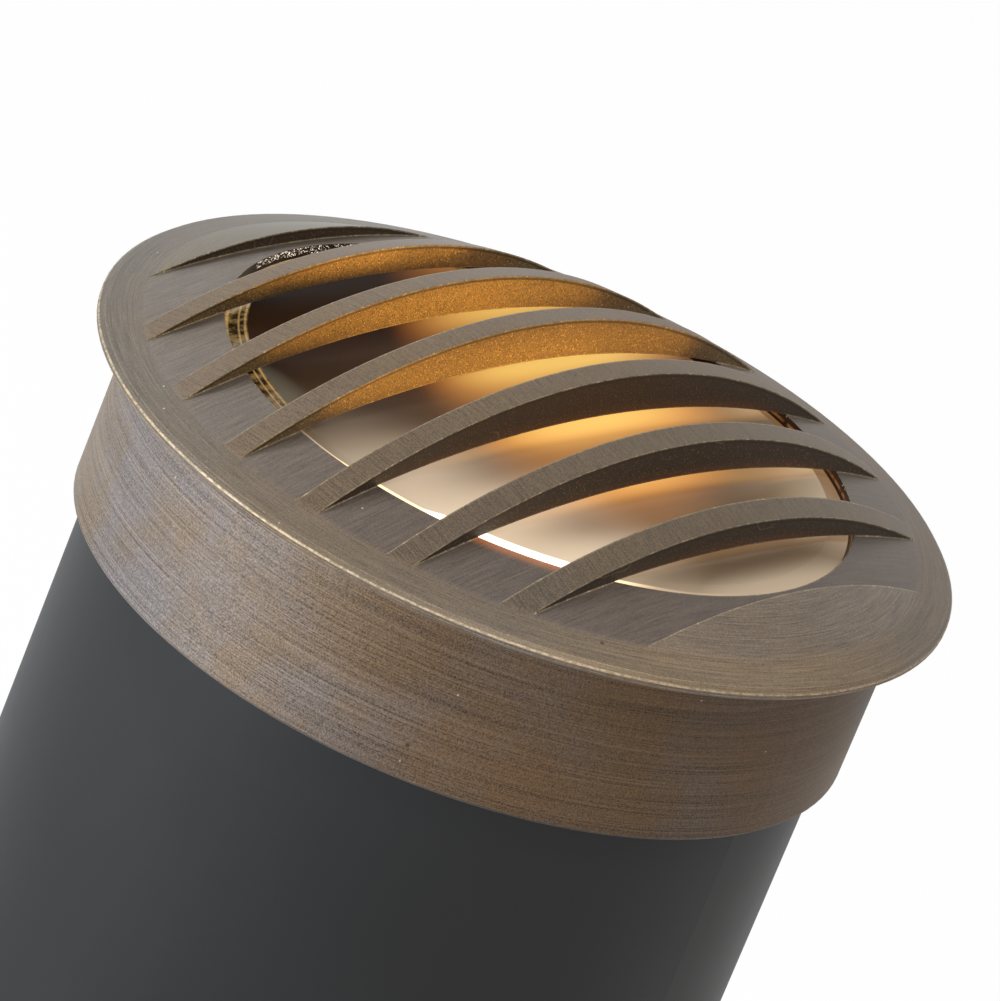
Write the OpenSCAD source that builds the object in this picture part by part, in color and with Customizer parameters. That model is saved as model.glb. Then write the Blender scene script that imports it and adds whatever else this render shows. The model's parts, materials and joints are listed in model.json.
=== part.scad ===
// In-ground well light. A cast brass louvre cap with a frosted lens turns on a plain plastic
// sleeve, which holds a reflector lamp that swivels and tilts. The sleeve stands on its lower
// rim with its axis along Z. The origin is the centre of that rim, the louvre fins run along Y
// and all sizes are in millimetres.

/* [Sleeve] */
// Outside diameter of the sleeve, that of a 3-inch pipe
sleeve_od = 88.9; // [88.5:0.1:96]
// Wall of the sleeve
sleeve_wall = 5.5; // [5:0.1:5.8]
// Depth of the open skirt under the bulkhead
skirt_h = 38; // [34:0.5:90]
// Free height between the bulkhead and the wire connectors
wiring_h = 14; // [10:0.5:60]
// Width of the two cable notches in the lower rim
notch_w = 14; // [10:0.5:20]
// Height of the cable notches
notch_h = 16; // [12:0.5:24]

/* [Cap] */
// Wall of the cap's collar
collar_wall = 2.45; // [1.6:0.05:3.5]
// Depth of the collar under the plane of the lip
collar_h = 22.6; // [19:0.1:30]
// How far the flange stands out past the collar
flange_over = 4.7; // [3:0.1:8]
// Thickness of the flange's lip
lip_t = 1.2; // [0.9:0.1:2]
// Radius of the cove between lip and collar
cove_r = 2; // [1:0.1:2.5]
// Height of the plate's dome above the lip
plate_rise = 8.4; // [6:0.1:9.5]
// Height of the fins' dome above the lip
dome_rise = 13.45; // [11.5:0.05:16]
// Plain band between the fins' tips and the lip's edge
tip_band = 4.5; // [3:0.1:6]

/* [Louvres] */
// Width of the land between the light opening and the collar's bore
opening_land = 6.35; // [6.2:0.05:9]
// Width of a slot between two fins
slot_w = 8.8; // [6:0.1:9.5]
// Distance from one slot to the next
slot_pitch = 11.7; // [10.5:0.1:12.5]
// Number of slots
slot_count = 7; // [5:1:7]

/* [Lens] */
// Width of the clear bevel round the lens
bevel_w = 2.5; // [1:0.1:4]
// Drop of the bevel at its outer edge
bevel_drop = 0.8; // [0.3:0.1:1.5]
// How far the lens lies under the edge of the opening
lens_sink = 0.35; // [0.1:0.05:1]
// Thickness of the lens's flange
lens_flange_t = 3; // [2.5:0.1:4]
// Width of the lens's flange
lens_flange_w = 2.6; // [2:0.1:2.8]
// Thickness of the gasket over that flange
lens_gasket_t = 1.2; // [0.8:0.1:2]
// Thickness of the cushion under that flange
cushion_t = 0.8; // [0.5:0.1:2]
// Thickness of the clamping ring
lens_ring_t = 2.5; // [2.2:0.1:4]
// Thickness of the gasket on the sleeve's rim
rim_gasket_t = 1.5; // [1:0.1:3]
// Number of screws in the clamping ring
ring_screw_count = 3; // [3:1:6]

/* [Lamp] */
// Diameter of the lamp's rim
lamp_d = 50.3; // [49.5:0.1:51]
// Length of the lamp from its face to its base
lamp_l = 43; // [40:0.5:55]
// Number of cooling fins on the lamp
fin_count = 18; // [12:1:24]
// Distance between the two lamp pins
pin_pitch = 5.33; // [5:0.01:6.35]
// Height of the lampholder
holder_h = 12; // [10:0.5:16]
// Free length of the leads between lampholder and connectors
lead_drop = 12; // [11.5:0.5:30]
// Length of a wire connector
connector_l = 18; // [15:0.5:25]

/* [Gimbal] */
// Wall of the gimbal ring
gimbal_wall = 2.85; // [2.6:0.05:3.2]
// Height from the tilt axis to the swivel ring
ear_drop = 10.5; // [9.5:0.1:16]
// Thickness of an ear
ear_t = 2.2; // [1.8:0.1:2.4]
// Width of an ear
ear_w = 12; // [10:0.5:13]
// Thickness of the swivel ring
swivel_t = 2; // [1.6:0.1:3]
// Diameter of the tilt screws
pivot_d = 4; // [3:0.1:5]

/* [Bulkhead and gland] */
// Thickness of the bulkhead over its ribs
bulkhead_t = 8; // [6.5:0.5:12]
// Thickness of its plate
bulkhead_plate_t = 4; // [3:0.5:5]
// Number of ribs under it
bulkhead_ribs = 8; // [4:1:12]
// Thread diameter of the cable gland
gland_d = 16; // [15:0.5:20]
// Diameter of the cable that the gland takes
cable_d = 8.2; // [5:0.1:8.6]
// Width across flats of the gland's hexagons, over the thread diameter
gland_flat_over = 4; // [3.5:0.5:8]
// Length of the gland's sealing nut
gland_nut_l = 15; // [14:0.5:17]

/* [Hidden] */
$fn = 128;

// Clearances and small edges shared by all the pieces
overrun = 1;
skim = 0.05;
slip = 0.1;
run_gap = 0.05;
seat_gap = 0.02;
edge_c = 0.4;
arc_steps = 6;

// Sleeve: the spigot under the collar is turned down a little
sleeve_r = sleeve_od / 2;
sleeve_ir = sleeve_r - sleeve_wall;
spigot_step = 0.5;
spigot_r = sleeve_r - spigot_step;
spigot_gap = 0.3;
rebate_w = 2.45;
rebate_r = sleeve_ir + rebate_w;
rebate_h = 1.5;
groove_drop = 5;
groove_w = 2.6;
groove_depth = 1.8;
notch_end_r = notch_w / 2;

// Cap
collar_ir = spigot_r + slip;
collar_r = collar_ir + collar_wall;
flange_r = collar_r + flange_over;
tip_r = flange_r - tip_band;
plate_rho = (flange_r * flange_r + plate_rise * plate_rise) / (2 * plate_rise);
function plate_z(r) = plate_rise - plate_rho + sqrt(plate_rho * plate_rho - r * r);
tip_h = dome_rise - plate_z(tip_r);
dome_rho = (tip_r * tip_r + tip_h * tip_h) / (2 * tip_h);
louvre_root_share = 0.25;
louvre_root_z = plate_z(tip_r) * louvre_root_share;
opening_r = collar_ir - opening_land;
ceiling_drop = 1.4;

// Lens and its clamping ring, placed down from the cap's ceiling
lens_gap = 0.3;
lens_r = opening_r - lens_gap;
lens_flange_r = opening_r + lens_flange_w;
pocket_r = lens_flange_r + lens_gap;
pocket_h = lens_gasket_t + lens_flange_t + cushion_t;
lens_ring_lap = 3.8;
lens_ring_ir = lens_flange_r - lens_ring_lap;
lens_ring_r = collar_ir - slip;
rim_gasket_ir = sleeve_ir + lens_gap;
ring_screw_d = 2;
ring_screw_head_d = 3.4;
ring_screw_head_h = 1;
ring_screw_bite = 4;
ring_screw_in_share = 0.7;
ring_screw_pcr = pocket_r + ring_screw_in_share * ring_screw_d;

// Gimbal and swivel, worked out from the lamp outwards
lamp_r = lamp_d / 2;
lamp_rim_h = 4;
lamp_gap = 0.2;
clip_wire_r = 0.55;
clip_land = 1.3;
clip_mouth_angle = 30;
gimbal_ledge_t = 1.5;
gimbal_ledge_w = 1.95;
gimbal_ir = lamp_r + lamp_gap;
boss_proud = 1.4;
boss_r = 4;
tilt_washer_t = 1;
tilt_washer_r = 4.4;
swivel_gap = 0.3;
seat_lap = 2.2;
hanger_wall = 2.4;

// The rings share the room between lamp and sleeve in the proportion of their named widths
ear_bow = ear_w * ear_w / 4 / lamp_d;
ring_gaps = lamp_gap + 2 * run_gap + ear_bow + 2 * swivel_gap + slip;
ring_widths = gimbal_wall + boss_proud + tilt_washer_t + ear_t + seat_lap + hanger_wall;
ring_fit = (sleeve_ir - lamp_r - ring_gaps) / ring_widths;
gimbal_r = gimbal_ir + ring_fit * gimbal_wall;
boss_face = gimbal_r + ring_fit * boss_proud;
thrust_t = ring_fit * tilt_washer_t;
ear_in = boss_face + thrust_t + 2 * run_gap;
ear_plate_t = ring_fit * ear_t;
ear_out = ear_in + ear_plate_t;
hanger_ledge_ir = ear_out + ear_bow + swivel_gap;
swivel_r = hanger_ledge_ir + ring_fit * seat_lap;
swivel_ir = gimbal_r + ring_fit * tilt_washer_t + 2 * run_gap;
hanger_ir = swivel_r + swivel_gap;
hanger_r = sleeve_ir - slip;
pivot_r = pivot_d / 2;
pivot_head_over = 1.2;
pivot_head_r = pivot_r + pivot_head_over;
pivot_head_t = 1.8;
screw_tip_gap = 0.9;
hanger_land = 2.8;
hanger_ledge_t = 1.5;
drag_t = 0.5;
circlip_t = 1;
circlip_depth_share = 0.33;
circlip_depth = circlip_depth_share * (hanger_r - hanger_ir);
circlip_lap_share = 0.6;
circlip_w = circlip_depth + circlip_lap_share * (swivel_r - hanger_ledge_ir);
circlip_mouth = 9;

// Heights, added up from the lower rim
z_bulk_top = skirt_h + bulkhead_t;
z_conn = z_bulk_top + wiring_h;
z_conn_top = z_conn + connector_l;
z_holder = z_conn_top + lead_drop;
z_base = z_holder + holder_h;
z_face = z_base + lamp_l;
z_gimbal_top = z_face + 2 * clip_wire_r + clip_land;
z_gimbal = z_face - lamp_rim_h - gimbal_ledge_t;
z_pivot = (z_gimbal + z_gimbal_top) / 2;
z_swivel = z_pivot + ear_drop;
z_drag = z_swivel + swivel_t + run_gap;
z_circlip = z_drag + drag_t + run_gap;
z_rim = z_circlip + circlip_t + hanger_land;
z_lens_ring = z_rim + rim_gasket_t;
z_cushion = z_lens_ring + lens_ring_t;
z_lens = z_cushion + cushion_t;
z_lens_gasket = z_lens + lens_flange_t;
z_ceiling = z_lens_gasket + lens_gasket_t;
z_lip = z_ceiling + ceiling_drop;
z_collar = z_lip - collar_h;
z_shoulder = z_collar - spigot_gap;
z_lens_top = z_lip + plate_z(opening_r) - lens_sink;
z_groove = z_rim - groove_drop;

// Lamp and its wiring
lamp_rim_w = 2.55;
optic_r = lamp_r - lamp_rim_w;
optic_t = 2.2;
heat_cone_gap = 1;
heat_cone_r = gimbal_ir - gimbal_ledge_w - heat_cone_gap;
heat_neck_r = 10.4;
heat_fin_depth = 5.4;
heat_core_r = heat_cone_r - heat_fin_depth;
heat_core_neck_r = 8.6;
heat_wall = 1.6;
heat_fin_t = 1.5;
heat_h_share = 0.62;
heat_h = lamp_l * heat_h_share;
z_neck = z_face - heat_h;
neck_h = 3;
board_drop = 12;
board_r = 10.2;
board_t = 1.2;
chip_r = 4;
chip_t = 0.8;
chip_gap = 0.3;
collimator_gap = 2.4;
collimator_r = heat_core_r - heat_wall - collimator_gap;
collimator_end_r = 5;
collimator_drop = board_drop - optic_t - board_t - chip_t - chip_gap;
base_plug_r = 7.4;
base_x = 15;
base_y = 9.2;
base_round_r = 7.9;
pin_r = 0.75;
pin_l = 7.2;
pin_hole_gap = 0.1;
holder_x = 17;
holder_y = 10;
holder_round_r = 9;
holder_lip = 1;
lead_r = 1.1;
lead_sides = 10;
lead_bend_r = 6;
lead_in = 4;
connector_x = 8;
connector_r = 6.2;
connector_end_r = 4.2;
connector_wall = 1.2;
connector_wing_t = 1.6;
connector_wing_w = 1.4;

// Bulkhead and gland, placed down from the bulkhead
bulkhead_r = sleeve_ir - seat_gap;
bulkhead_rim_w = 3;
bulkhead_hub_over = 5.5;
bulkhead_rib_t = 2.2;
gland_r = gland_d / 2;
gland_hole_gap = 0.2;
gland_flats = gland_d + gland_flat_over;
gland_corner_r = gland_flats / 2 / cos(30);
bulkhead_hub_r = gland_r + bulkhead_hub_over;
gland_washer_t = 1.5;
gland_hex_h = 5;
gland_gap = 0.5;
locknut_h = 4.5;
gland_bore_play = 1;
gland_bore_r = cable_d / 2 + gland_bore_play;
gland_tail_step = 1.1;
gland_tail_r = gland_r - gland_tail_step;
gland_tail_h = 9;
gland_tail_wall = 1;
seal_r = gland_tail_r - gland_tail_wall;
seal_h = 9;
seal_taper = 2;
nut_cap_t = 3;
z_gland_hex = skirt_h - gland_washer_t - gland_hex_h;
z_gland_nut = z_gland_hex - gland_gap - gland_nut_l;
z_gland_tail = z_gland_hex - gland_tail_h;
z_seal = z_gland_tail - seal_taper;

brass = [0.40, 0.33, 0.26];
black = [0.12, 0.12, 0.13];
steel = [0.70, 0.70, 0.72];
rubber = [0.16, 0.16, 0.16];

module ring(r_out, r_in, h) {
  difference() {
    cylinder(r = r_out, h = h);
    translate([0, 0, -overrun]) cylinder(r = r_in, h = h + 2 * overrun);
  }
}

// A ball whose top is at height rise over the lip's plane
module ball(rise, rho) {
  translate([0, 0, z_lip + rise - rho]) sphere(r = rho);
}

// Everything under the plate's dome: lip, cove and collar as one turned shape
module cap_blank() {
  top_run = plate_rise + overrun + edge_c;
  cove = [for (i = [0 : arc_steps]) let (a = 180 - 90 * i / arc_steps)
    [collar_r + cove_r + cove_r * cos(a), -lip_t - cove_r + cove_r * sin(a)]];
  intersection() {
    translate([0, 0, z_lip]) rotate_extrude() polygon(concat(
      [[0, -collar_h], [collar_r - edge_c, -collar_h], [collar_r, edge_c - collar_h]],
      cove,
      [[flange_r - edge_c, -lip_t], [flange_r, edge_c - lip_t], [flange_r, -edge_c],
       [flange_r - top_run, plate_rise + overrun], [0, plate_rise + overrun]]));
    ball(plate_rise, plate_rho);
  }
}

// The fins and the closed end segments, rooted inside the plate
module louvres() {
  difference() {
    intersection() {
      translate([0, 0, z_lip + louvre_root_z]) cylinder(r = flange_r, h = dome_rise);
      ball(dome_rise, dome_rho);
    }
    for (i = [0 : slot_count - 1])
      translate([(i - (slot_count - 1) / 2) * slot_pitch - slot_w / 2, -flange_r, z_lip])
        cube([slot_w, 2 * flange_r, dome_rise + overrun]);
  }
}

module ring_screw_places() {
  for (i = [0 : ring_screw_count - 1])
    rotate([0, 0, 360 * i / ring_screw_count]) translate([0, ring_screw_pcr, 0]) children();
}

module louvre_cap() {
  pocket_z = z_ceiling - pocket_h;
  color(brass) difference() {
    union() {
      cap_blank();
      louvres();
    }
    intersection() {
      translate([0, 0, z_collar]) cylinder(r = opening_r, h = collar_h + dome_rise);
      ball(plate_rise + skim, plate_rho);
    }
    translate([0, 0, pocket_z - overrun]) cylinder(r = pocket_r, h = pocket_h + overrun);
    translate([0, 0, z_collar - overrun]) cylinder(r = collar_ir, h = pocket_z - z_collar + overrun);
    translate([0, 0, z_collar - edge_c])
      cylinder(r1 = collar_ir + 2 * edge_c, r2 = collar_ir, h = 2 * edge_c);
    ring_screw_places() translate([0, 0, pocket_z - overrun])
      cylinder(d = ring_screw_d, h = ring_screw_bite + overrun);
  }
}

module lens_gasket() {
  color(rubber) translate([0, 0, z_lens_gasket]) ring(lens_flange_r, opening_r, lens_gasket_t);
}

module glass_lens() {
  color([0.93, 0.88, 0.78]) rotate_extrude() polygon([
    [0, z_lens], [lens_flange_r, z_lens], [lens_flange_r, z_lens_gasket],
    [lens_r, z_lens_gasket], [lens_r, z_lens_top - bevel_drop],
    [lens_r - bevel_w, z_lens_top], [0, z_lens_top],
  ]);
}

module lens_cushion() {
  color(rubber) translate([0, 0, z_cushion]) ring(lens_flange_r, lens_ring_ir + lens_gap, cushion_t);
}

module lens_ring() {
  color(steel) difference() {
    translate([0, 0, z_lens_ring]) ring(lens_ring_r, lens_ring_ir, lens_ring_t);
    ring_screw_places() {
      translate([0, 0, z_lens_ring - overrun])
        cylinder(r = ring_screw_d / 2 + slip, h = lens_ring_t + 2 * overrun);
      translate([0, 0, z_lens_ring])
        cylinder(d1 = ring_screw_head_d, d2 = ring_screw_d, h = ring_screw_head_h);
    }
  }
}

module lens_screws() {
  color(steel) ring_screw_places() {
    translate([0, 0, z_lens_ring])
      cylinder(r1 = ring_screw_head_d / 2 - seat_gap, r2 = ring_screw_d / 2 - seat_gap, h = ring_screw_head_h);
    translate([0, 0, z_lens_ring])
      cylinder(r = ring_screw_d / 2 - seat_gap, h = lens_ring_t + ring_screw_bite - seat_gap);
  }
}

module rim_gasket() {
  color(rubber) translate([0, 0, z_rim]) ring(lens_ring_r, rim_gasket_ir, rim_gasket_t);
}

module cap_oring() {
  oring_r = groove_depth / 2;
  color(rubber) translate([0, 0, z_groove]) rotate_extrude()
    translate([spigot_r - groove_depth + run_gap + oring_r, 0]) circle(r = oring_r);
}

module sleeve() {
  color(black) difference() {
    cylinder(r = sleeve_r, h = z_rim);
    translate([0, 0, -overrun]) cylinder(r = sleeve_ir, h = z_rim + 2 * overrun);
    translate([0, 0, z_rim - rebate_h]) cylinder(r = rebate_r, h = rebate_h + overrun);
    translate([0, 0, z_shoulder]) ring(sleeve_r + overrun, spigot_r, z_rim);
    translate([0, 0, z_groove - groove_w / 2])
      ring(sleeve_r + overrun, spigot_r - groove_depth, groove_w);
    for (side = [-1, 1]) {
      translate([side * sleeve_r, 0, notch_h - notch_end_r]) rotate([0, 90, 0])
        cylinder(r = notch_end_r, h = 4 * sleeve_wall, center = true);
      translate([side * sleeve_r - 2 * sleeve_wall, -notch_end_r, -overrun])
        cube([4 * sleeve_wall, notch_w, notch_h - notch_end_r + overrun]);
    }
  }
}

module lamp_hanger() {
  color(black) difference() {
    union() {
      translate([0, 0, z_swivel - hanger_ledge_t])
        cylinder(r = hanger_r, h = z_rim - z_swivel + hanger_ledge_t);
      translate([0, 0, z_rim - rebate_h]) cylinder(r = rebate_r - slip, h = rebate_h);
    }
    translate([0, 0, z_swivel]) cylinder(r = hanger_ir, h = z_rim);
    translate([0, 0, z_swivel - 2 * hanger_ledge_t]) cylinder(r = hanger_ledge_ir, h = z_rim);
    translate([0, 0, z_circlip - run_gap])
      cylinder(r = hanger_ir + circlip_depth, h = circlip_t + 2 * run_gap);
  }
}

// Both ears of the swivel ring, as plates with round lower ends and a pivot hole
module ears() {
  for (side = [-1, 1]) {
    inner = side > 0 ? ear_in : -ear_out;
    difference() {
      union() {
        translate([inner, -ear_w / 2, z_pivot]) cube([ear_plate_t, ear_w, ear_drop + swivel_t]);
        translate([inner, 0, z_pivot]) rotate([0, 90, 0]) cylinder(d = ear_w, h = ear_plate_t);
      }
      translate([inner - overrun, 0, z_pivot]) rotate([0, 90, 0])
        cylinder(r = pivot_r + run_gap, h = ear_plate_t + 2 * overrun);
    }
  }
}

module swivel_ring() {
  color(steel) union() {
    translate([0, 0, z_swivel]) ring(swivel_r, swivel_ir, swivel_t);
    ears();
  }
}

module drag_washer() {
  color([0.85, 0.83, 0.78]) translate([0, 0, z_drag]) ring(swivel_r, hanger_ledge_ir, drag_t);
}

module swivel_circlip() {
  clip_r = hanger_ir + circlip_depth - slip;
  color(steel) translate([0, 0, z_circlip]) difference() {
    ring(clip_r, clip_r - circlip_w, circlip_t);
    translate([-circlip_mouth / 2, 0, -overrun])
      cube([circlip_mouth, sleeve_r, circlip_t + 2 * overrun]);
  }
}

// Runs its children along X on both sides, from x outwards at the height of the tilt axis
module on_tilt_axis(x) {
  for (side = [0, 1])
    mirror([side, 0, 0]) translate([x, 0, z_pivot]) rotate([0, 90, 0]) children();
}

module gimbal_ring() {
  ring_h = z_gimbal_top - z_gimbal;
  color(steel) difference() {
    union() {
      translate([0, 0, z_gimbal]) cylinder(r = gimbal_r, h = ring_h);
      on_tilt_axis(gimbal_ir) cylinder(r = boss_r, h = boss_face - gimbal_ir);
    }
    translate([0, 0, z_gimbal + gimbal_ledge_t]) cylinder(r = gimbal_ir, h = ring_h);
    translate([0, 0, z_gimbal - overrun]) cylinder(r = gimbal_ir - gimbal_ledge_w, h = ring_h);
    translate([0, 0, z_face])
      cylinder(r = gimbal_ir + clip_wire_r, h = 2 * clip_wire_r + 2 * run_gap);
    on_tilt_axis(gimbal_ir + screw_tip_gap) cylinder(r = pivot_r + seat_gap, h = boss_face);
  }
}

module tilt_screws() {
  color(steel) {
    on_tilt_axis(gimbal_ir + screw_tip_gap + run_gap)
      cylinder(r = pivot_r, h = ear_out - gimbal_ir - screw_tip_gap);
    on_tilt_axis(ear_out + run_gap) difference() {
      cylinder(r = pivot_head_r, h = pivot_head_t);
      translate([0, 0, pivot_head_t / 2]) cylinder(r = pivot_r / 2, h = pivot_head_t, $fn = 6);
    }
  }
}

module tilt_washers() {
  color([0.85, 0.83, 0.78]) on_tilt_axis(boss_face + run_gap)
    ring(tilt_washer_r, pivot_r + run_gap, thrust_t);
}

module lamp_clip() {
  color(steel) translate([0, 0, z_face + run_gap + clip_wire_r])
    rotate([0, 0, clip_mouth_angle / 2]) rotate_extrude(angle = 360 - clip_mouth_angle)
      translate([gimbal_ir - run_gap, 0]) circle(r = clip_wire_r);
}

module lamp_heatsink() {
  cone_h = heat_h - lamp_rim_h;
  color([0.80, 0.80, 0.80]) difference() {
    union() {
      translate([0, 0, z_face - lamp_rim_h]) cylinder(r = lamp_r, h = lamp_rim_h);
      translate([0, 0, z_neck]) cylinder(r1 = heat_core_neck_r, r2 = heat_core_r, h = cone_h);
      translate([0, 0, z_neck]) cylinder(r = heat_neck_r, h = neck_h);
      intersection() {
        translate([0, 0, z_neck]) cylinder(r1 = heat_neck_r, r2 = heat_cone_r, h = cone_h);
        for (i = [0 : fin_count - 1])
          rotate([0, 0, 360 * i / fin_count])
            translate([heat_core_neck_r / 2, -heat_fin_t / 2, z_neck])
              cube([lamp_r, heat_fin_t, heat_h - lamp_rim_h / 2]);
      }
    }
    translate([0, 0, z_face - optic_t - run_gap]) cylinder(r = optic_r + slip, h = lamp_rim_h);
    translate([0, 0, z_face - board_drop]) cylinder(
      r1 = board_r + slip, r2 = heat_core_r - heat_wall, h = board_drop - optic_t);
    translate([0, 0, z_neck - overrun]) cylinder(r = base_plug_r + seat_gap, h = neck_h + overrun);
  }
}

module lamp_optic() {
  color([0.95, 0.93, 0.85]) translate([0, 0, z_face - optic_t]) union() {
    cylinder(r = optic_r, h = optic_t);
    translate([0, 0, -collimator_drop])
      cylinder(r1 = collimator_end_r, r2 = collimator_r, h = collimator_drop);
  }
}

module led_board() {
  color([0.92, 0.92, 0.90]) translate([0, 0, z_face - board_drop])
    cylinder(r = board_r, h = board_t);
}

module led_chip() {
  color([0.98, 0.85, 0.35]) translate([0, 0, z_face - board_drop + board_t])
    cylinder(r = chip_r, h = chip_t);
}

module lamp_base() {
  color([0.90, 0.88, 0.84]) union() {
    translate([0, 0, z_neck]) cylinder(r = base_plug_r, h = neck_h);
    intersection() {
      translate([-base_x / 2, -base_y / 2, z_base]) cube([base_x, base_y, z_neck - z_base]);
      translate([0, 0, z_base]) cylinder(r = base_round_r, h = z_neck - z_base);
    }
  }
}

module lamp_pins() {
  color(steel) for (side = [-1, 1])
    translate([side * pin_pitch / 2, 0, z_base - pin_l]) cylinder(r = pin_r, h = pin_l);
}

module lampholder() {
  color([0.93, 0.91, 0.86]) difference() {
    intersection() {
      translate([-holder_x / 2, -holder_y / 2, z_holder]) cube([holder_x, holder_y, holder_h]);
      translate([0, 0, z_holder]) cylinder(r = holder_round_r, h = holder_h);
    }
    for (side = [-1, 1]) {
      translate([side * pin_pitch / 2, 0, z_base - pin_l - run_gap])
        cylinder(r = pin_r + pin_hole_gap, h = pin_l + overrun);
      translate([side * holder_x / 2, 0, z_holder + holder_h / 2]) rotate([0, 90, 0])
        cylinder(r = holder_lip, h = 2 * holder_lip, center = true);
    }
  }
}

// A round tube along a route in the XZ plane, as one closed skin. Each ring stands square to
// the line between its neighbours.
module flat_tube(route, r) {
  last = len(route) - 1;
  rings = [for (i = [0 : last]) let (
      ahead = route[min(i + 1, last)],
      back = route[max(i - 1, 0)],
      d = (ahead - back) / norm(ahead - back))
    for (k = [0 : lead_sides - 1]) let (a = 360 * k / lead_sides)
      [route[i][0] + r * cos(a) * d[1], r * sin(a), route[i][1] - r * cos(a) * d[0]]];
  skin = [for (i = [0 : last - 1], k = [0 : lead_sides - 1]) let (
      a = i * lead_sides + k,
      b = i * lead_sides + (k + 1) % lead_sides)
    each [[a, b, b + lead_sides], [a, b + lead_sides, a + lead_sides]]];
  ends = [[for (k = [lead_sides - 1 : -1 : 0]) k], [for (k = [0 : lead_sides - 1]) last * lead_sides + k]];
  polyhedron(rings, concat(skin, ends));
}

// One lead: straight down, out to the connector in two equal bends, and straight in
module lead() {
  shift = connector_x - pin_pitch / 2;
  a = acos(1 - shift / 2 / lead_bend_r);
  z_bend = z_conn_top + lead_drop / 2 + lead_bend_r * sin(a);
  z_end = z_bend - 2 * lead_bend_r * sin(a);
  steps = [for (i = [0 : arc_steps]) a * i / arc_steps];
  flat_tube(concat(
    [[pin_pitch / 2, z_holder]],
    [for (t = steps) [pin_pitch / 2 + lead_bend_r * (1 - cos(t)), z_bend - lead_bend_r * sin(t)]],
    [for (t = steps) if (t < a) let (u = a - t - a / arc_steps)
      [connector_x - lead_bend_r * (1 - cos(u)), z_end + lead_bend_r * sin(u)]],
    [[connector_x, z_conn_top - lead_in]]), lead_r);
}

module lamp_leads() {
  color([0.92, 0.90, 0.86]) for (side = [0, 1]) mirror([side, 0, 0]) lead();
}

module wire_connectors() {
  color([0.10, 0.14, 0.30]) for (side = [0, 1]) mirror([side, 0, 0])
    translate([connector_x, 0, z_conn]) difference() {
      union() {
        cylinder(r1 = connector_end_r, r2 = connector_r, h = connector_l);
        for (turn = [0, 180])
          rotate([0, 0, turn + 90])
            translate([connector_end_r, -connector_wing_t / 2, connector_l / 2])
              cube([connector_r - connector_end_r + connector_wing_w, connector_wing_t, connector_l / 2]);
      }
      translate([0, 0, connector_l - lead_in]) cylinder(r = lead_r + seat_gap, h = lead_in);
      translate([0, 0, connector_l - lead_in / 2])
        cylinder(r = connector_r - connector_wall, h = lead_in);
    }
}

module bulkhead() {
  color(black) difference() {
    union() {
      translate([0, 0, z_bulk_top - bulkhead_plate_t]) cylinder(r = bulkhead_r, h = bulkhead_plate_t);
      translate([0, 0, skirt_h]) cylinder(r = bulkhead_hub_r, h = bulkhead_t);
      translate([0, 0, skirt_h]) ring(bulkhead_r, bulkhead_r - bulkhead_rim_w, bulkhead_t);
      for (i = [0 : bulkhead_ribs - 1])
        rotate([0, 0, 360 * i / bulkhead_ribs])
          translate([bulkhead_hub_r - overrun, -bulkhead_rib_t / 2, skirt_h])
            cube([bulkhead_r - bulkhead_hub_r - bulkhead_rim_w / 2, bulkhead_rib_t, bulkhead_t / 2 + overrun]);
    }
    translate([0, 0, skirt_h - overrun])
      cylinder(r = gland_r + gland_hole_gap, h = bulkhead_t + 2 * overrun);
  }
}

module hexagon(r, h) {
  cylinder(r = r, h = h, $fn = 6);
}

module gland_body() {
  color(black) difference() {
    union() {
      translate([0, 0, z_gland_hex]) hexagon(gland_corner_r, gland_hex_h);
      translate([0, 0, z_gland_hex])
        cylinder(r = gland_r, h = z_bulk_top + locknut_h - z_gland_hex + gland_gap);
      translate([0, 0, z_gland_tail]) cylinder(r = gland_tail_r, h = gland_tail_h);
    }
    translate([0, 0, z_gland_tail - overrun])
      cylinder(r = gland_bore_r, h = z_bulk_top + locknut_h - z_gland_tail + 2 * overrun);
    translate([0, 0, z_gland_tail - overrun])
      cylinder(r = seal_r + seat_gap, h = seal_h - seal_taper + overrun);
  }
}

module gland_washer() {
  color(rubber) translate([0, 0, skirt_h - gland_washer_t])
    ring(gland_flats / 2, gland_r + gland_hole_gap, gland_washer_t);
}

module gland_locknut() {
  color(black) translate([0, 0, z_bulk_top]) difference() {
    hexagon(gland_corner_r, locknut_h);
    translate([0, 0, -overrun]) cylinder(r = gland_r + seat_gap, h = locknut_h + 2 * overrun);
  }
}

module gland_seal() {
  seal_end_r = cable_d / 2 + seal_taper / 2;
  color(rubber) difference() {
    union() {
      translate([0, 0, z_gland_tail]) cylinder(r = seal_r, h = seal_h - seal_taper);
      translate([0, 0, z_seal]) cylinder(r1 = seal_end_r, r2 = seal_r, h = seal_taper);
    }
    translate([0, 0, z_seal - overrun]) cylinder(d = cable_d, h = seal_h + 2 * overrun);
  }
}

module gland_nut() {
  hex_h = gland_nut_l - nut_cap_t;
  color(black) difference() {
    union() {
      translate([0, 0, z_gland_nut + nut_cap_t]) hexagon(gland_corner_r, hex_h);
      translate([0, 0, z_gland_nut])
        cylinder(r1 = gland_r - edge_c, r2 = gland_flats / 2, h = nut_cap_t);
    }
    translate([0, 0, z_seal - seat_gap]) cylinder(r = gland_tail_r + seat_gap, h = gland_nut_l);
    translate([0, 0, z_gland_nut - overrun])
      cylinder(r = cable_d / 2 + gland_hole_gap, h = gland_nut_l);
  }
}

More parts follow.
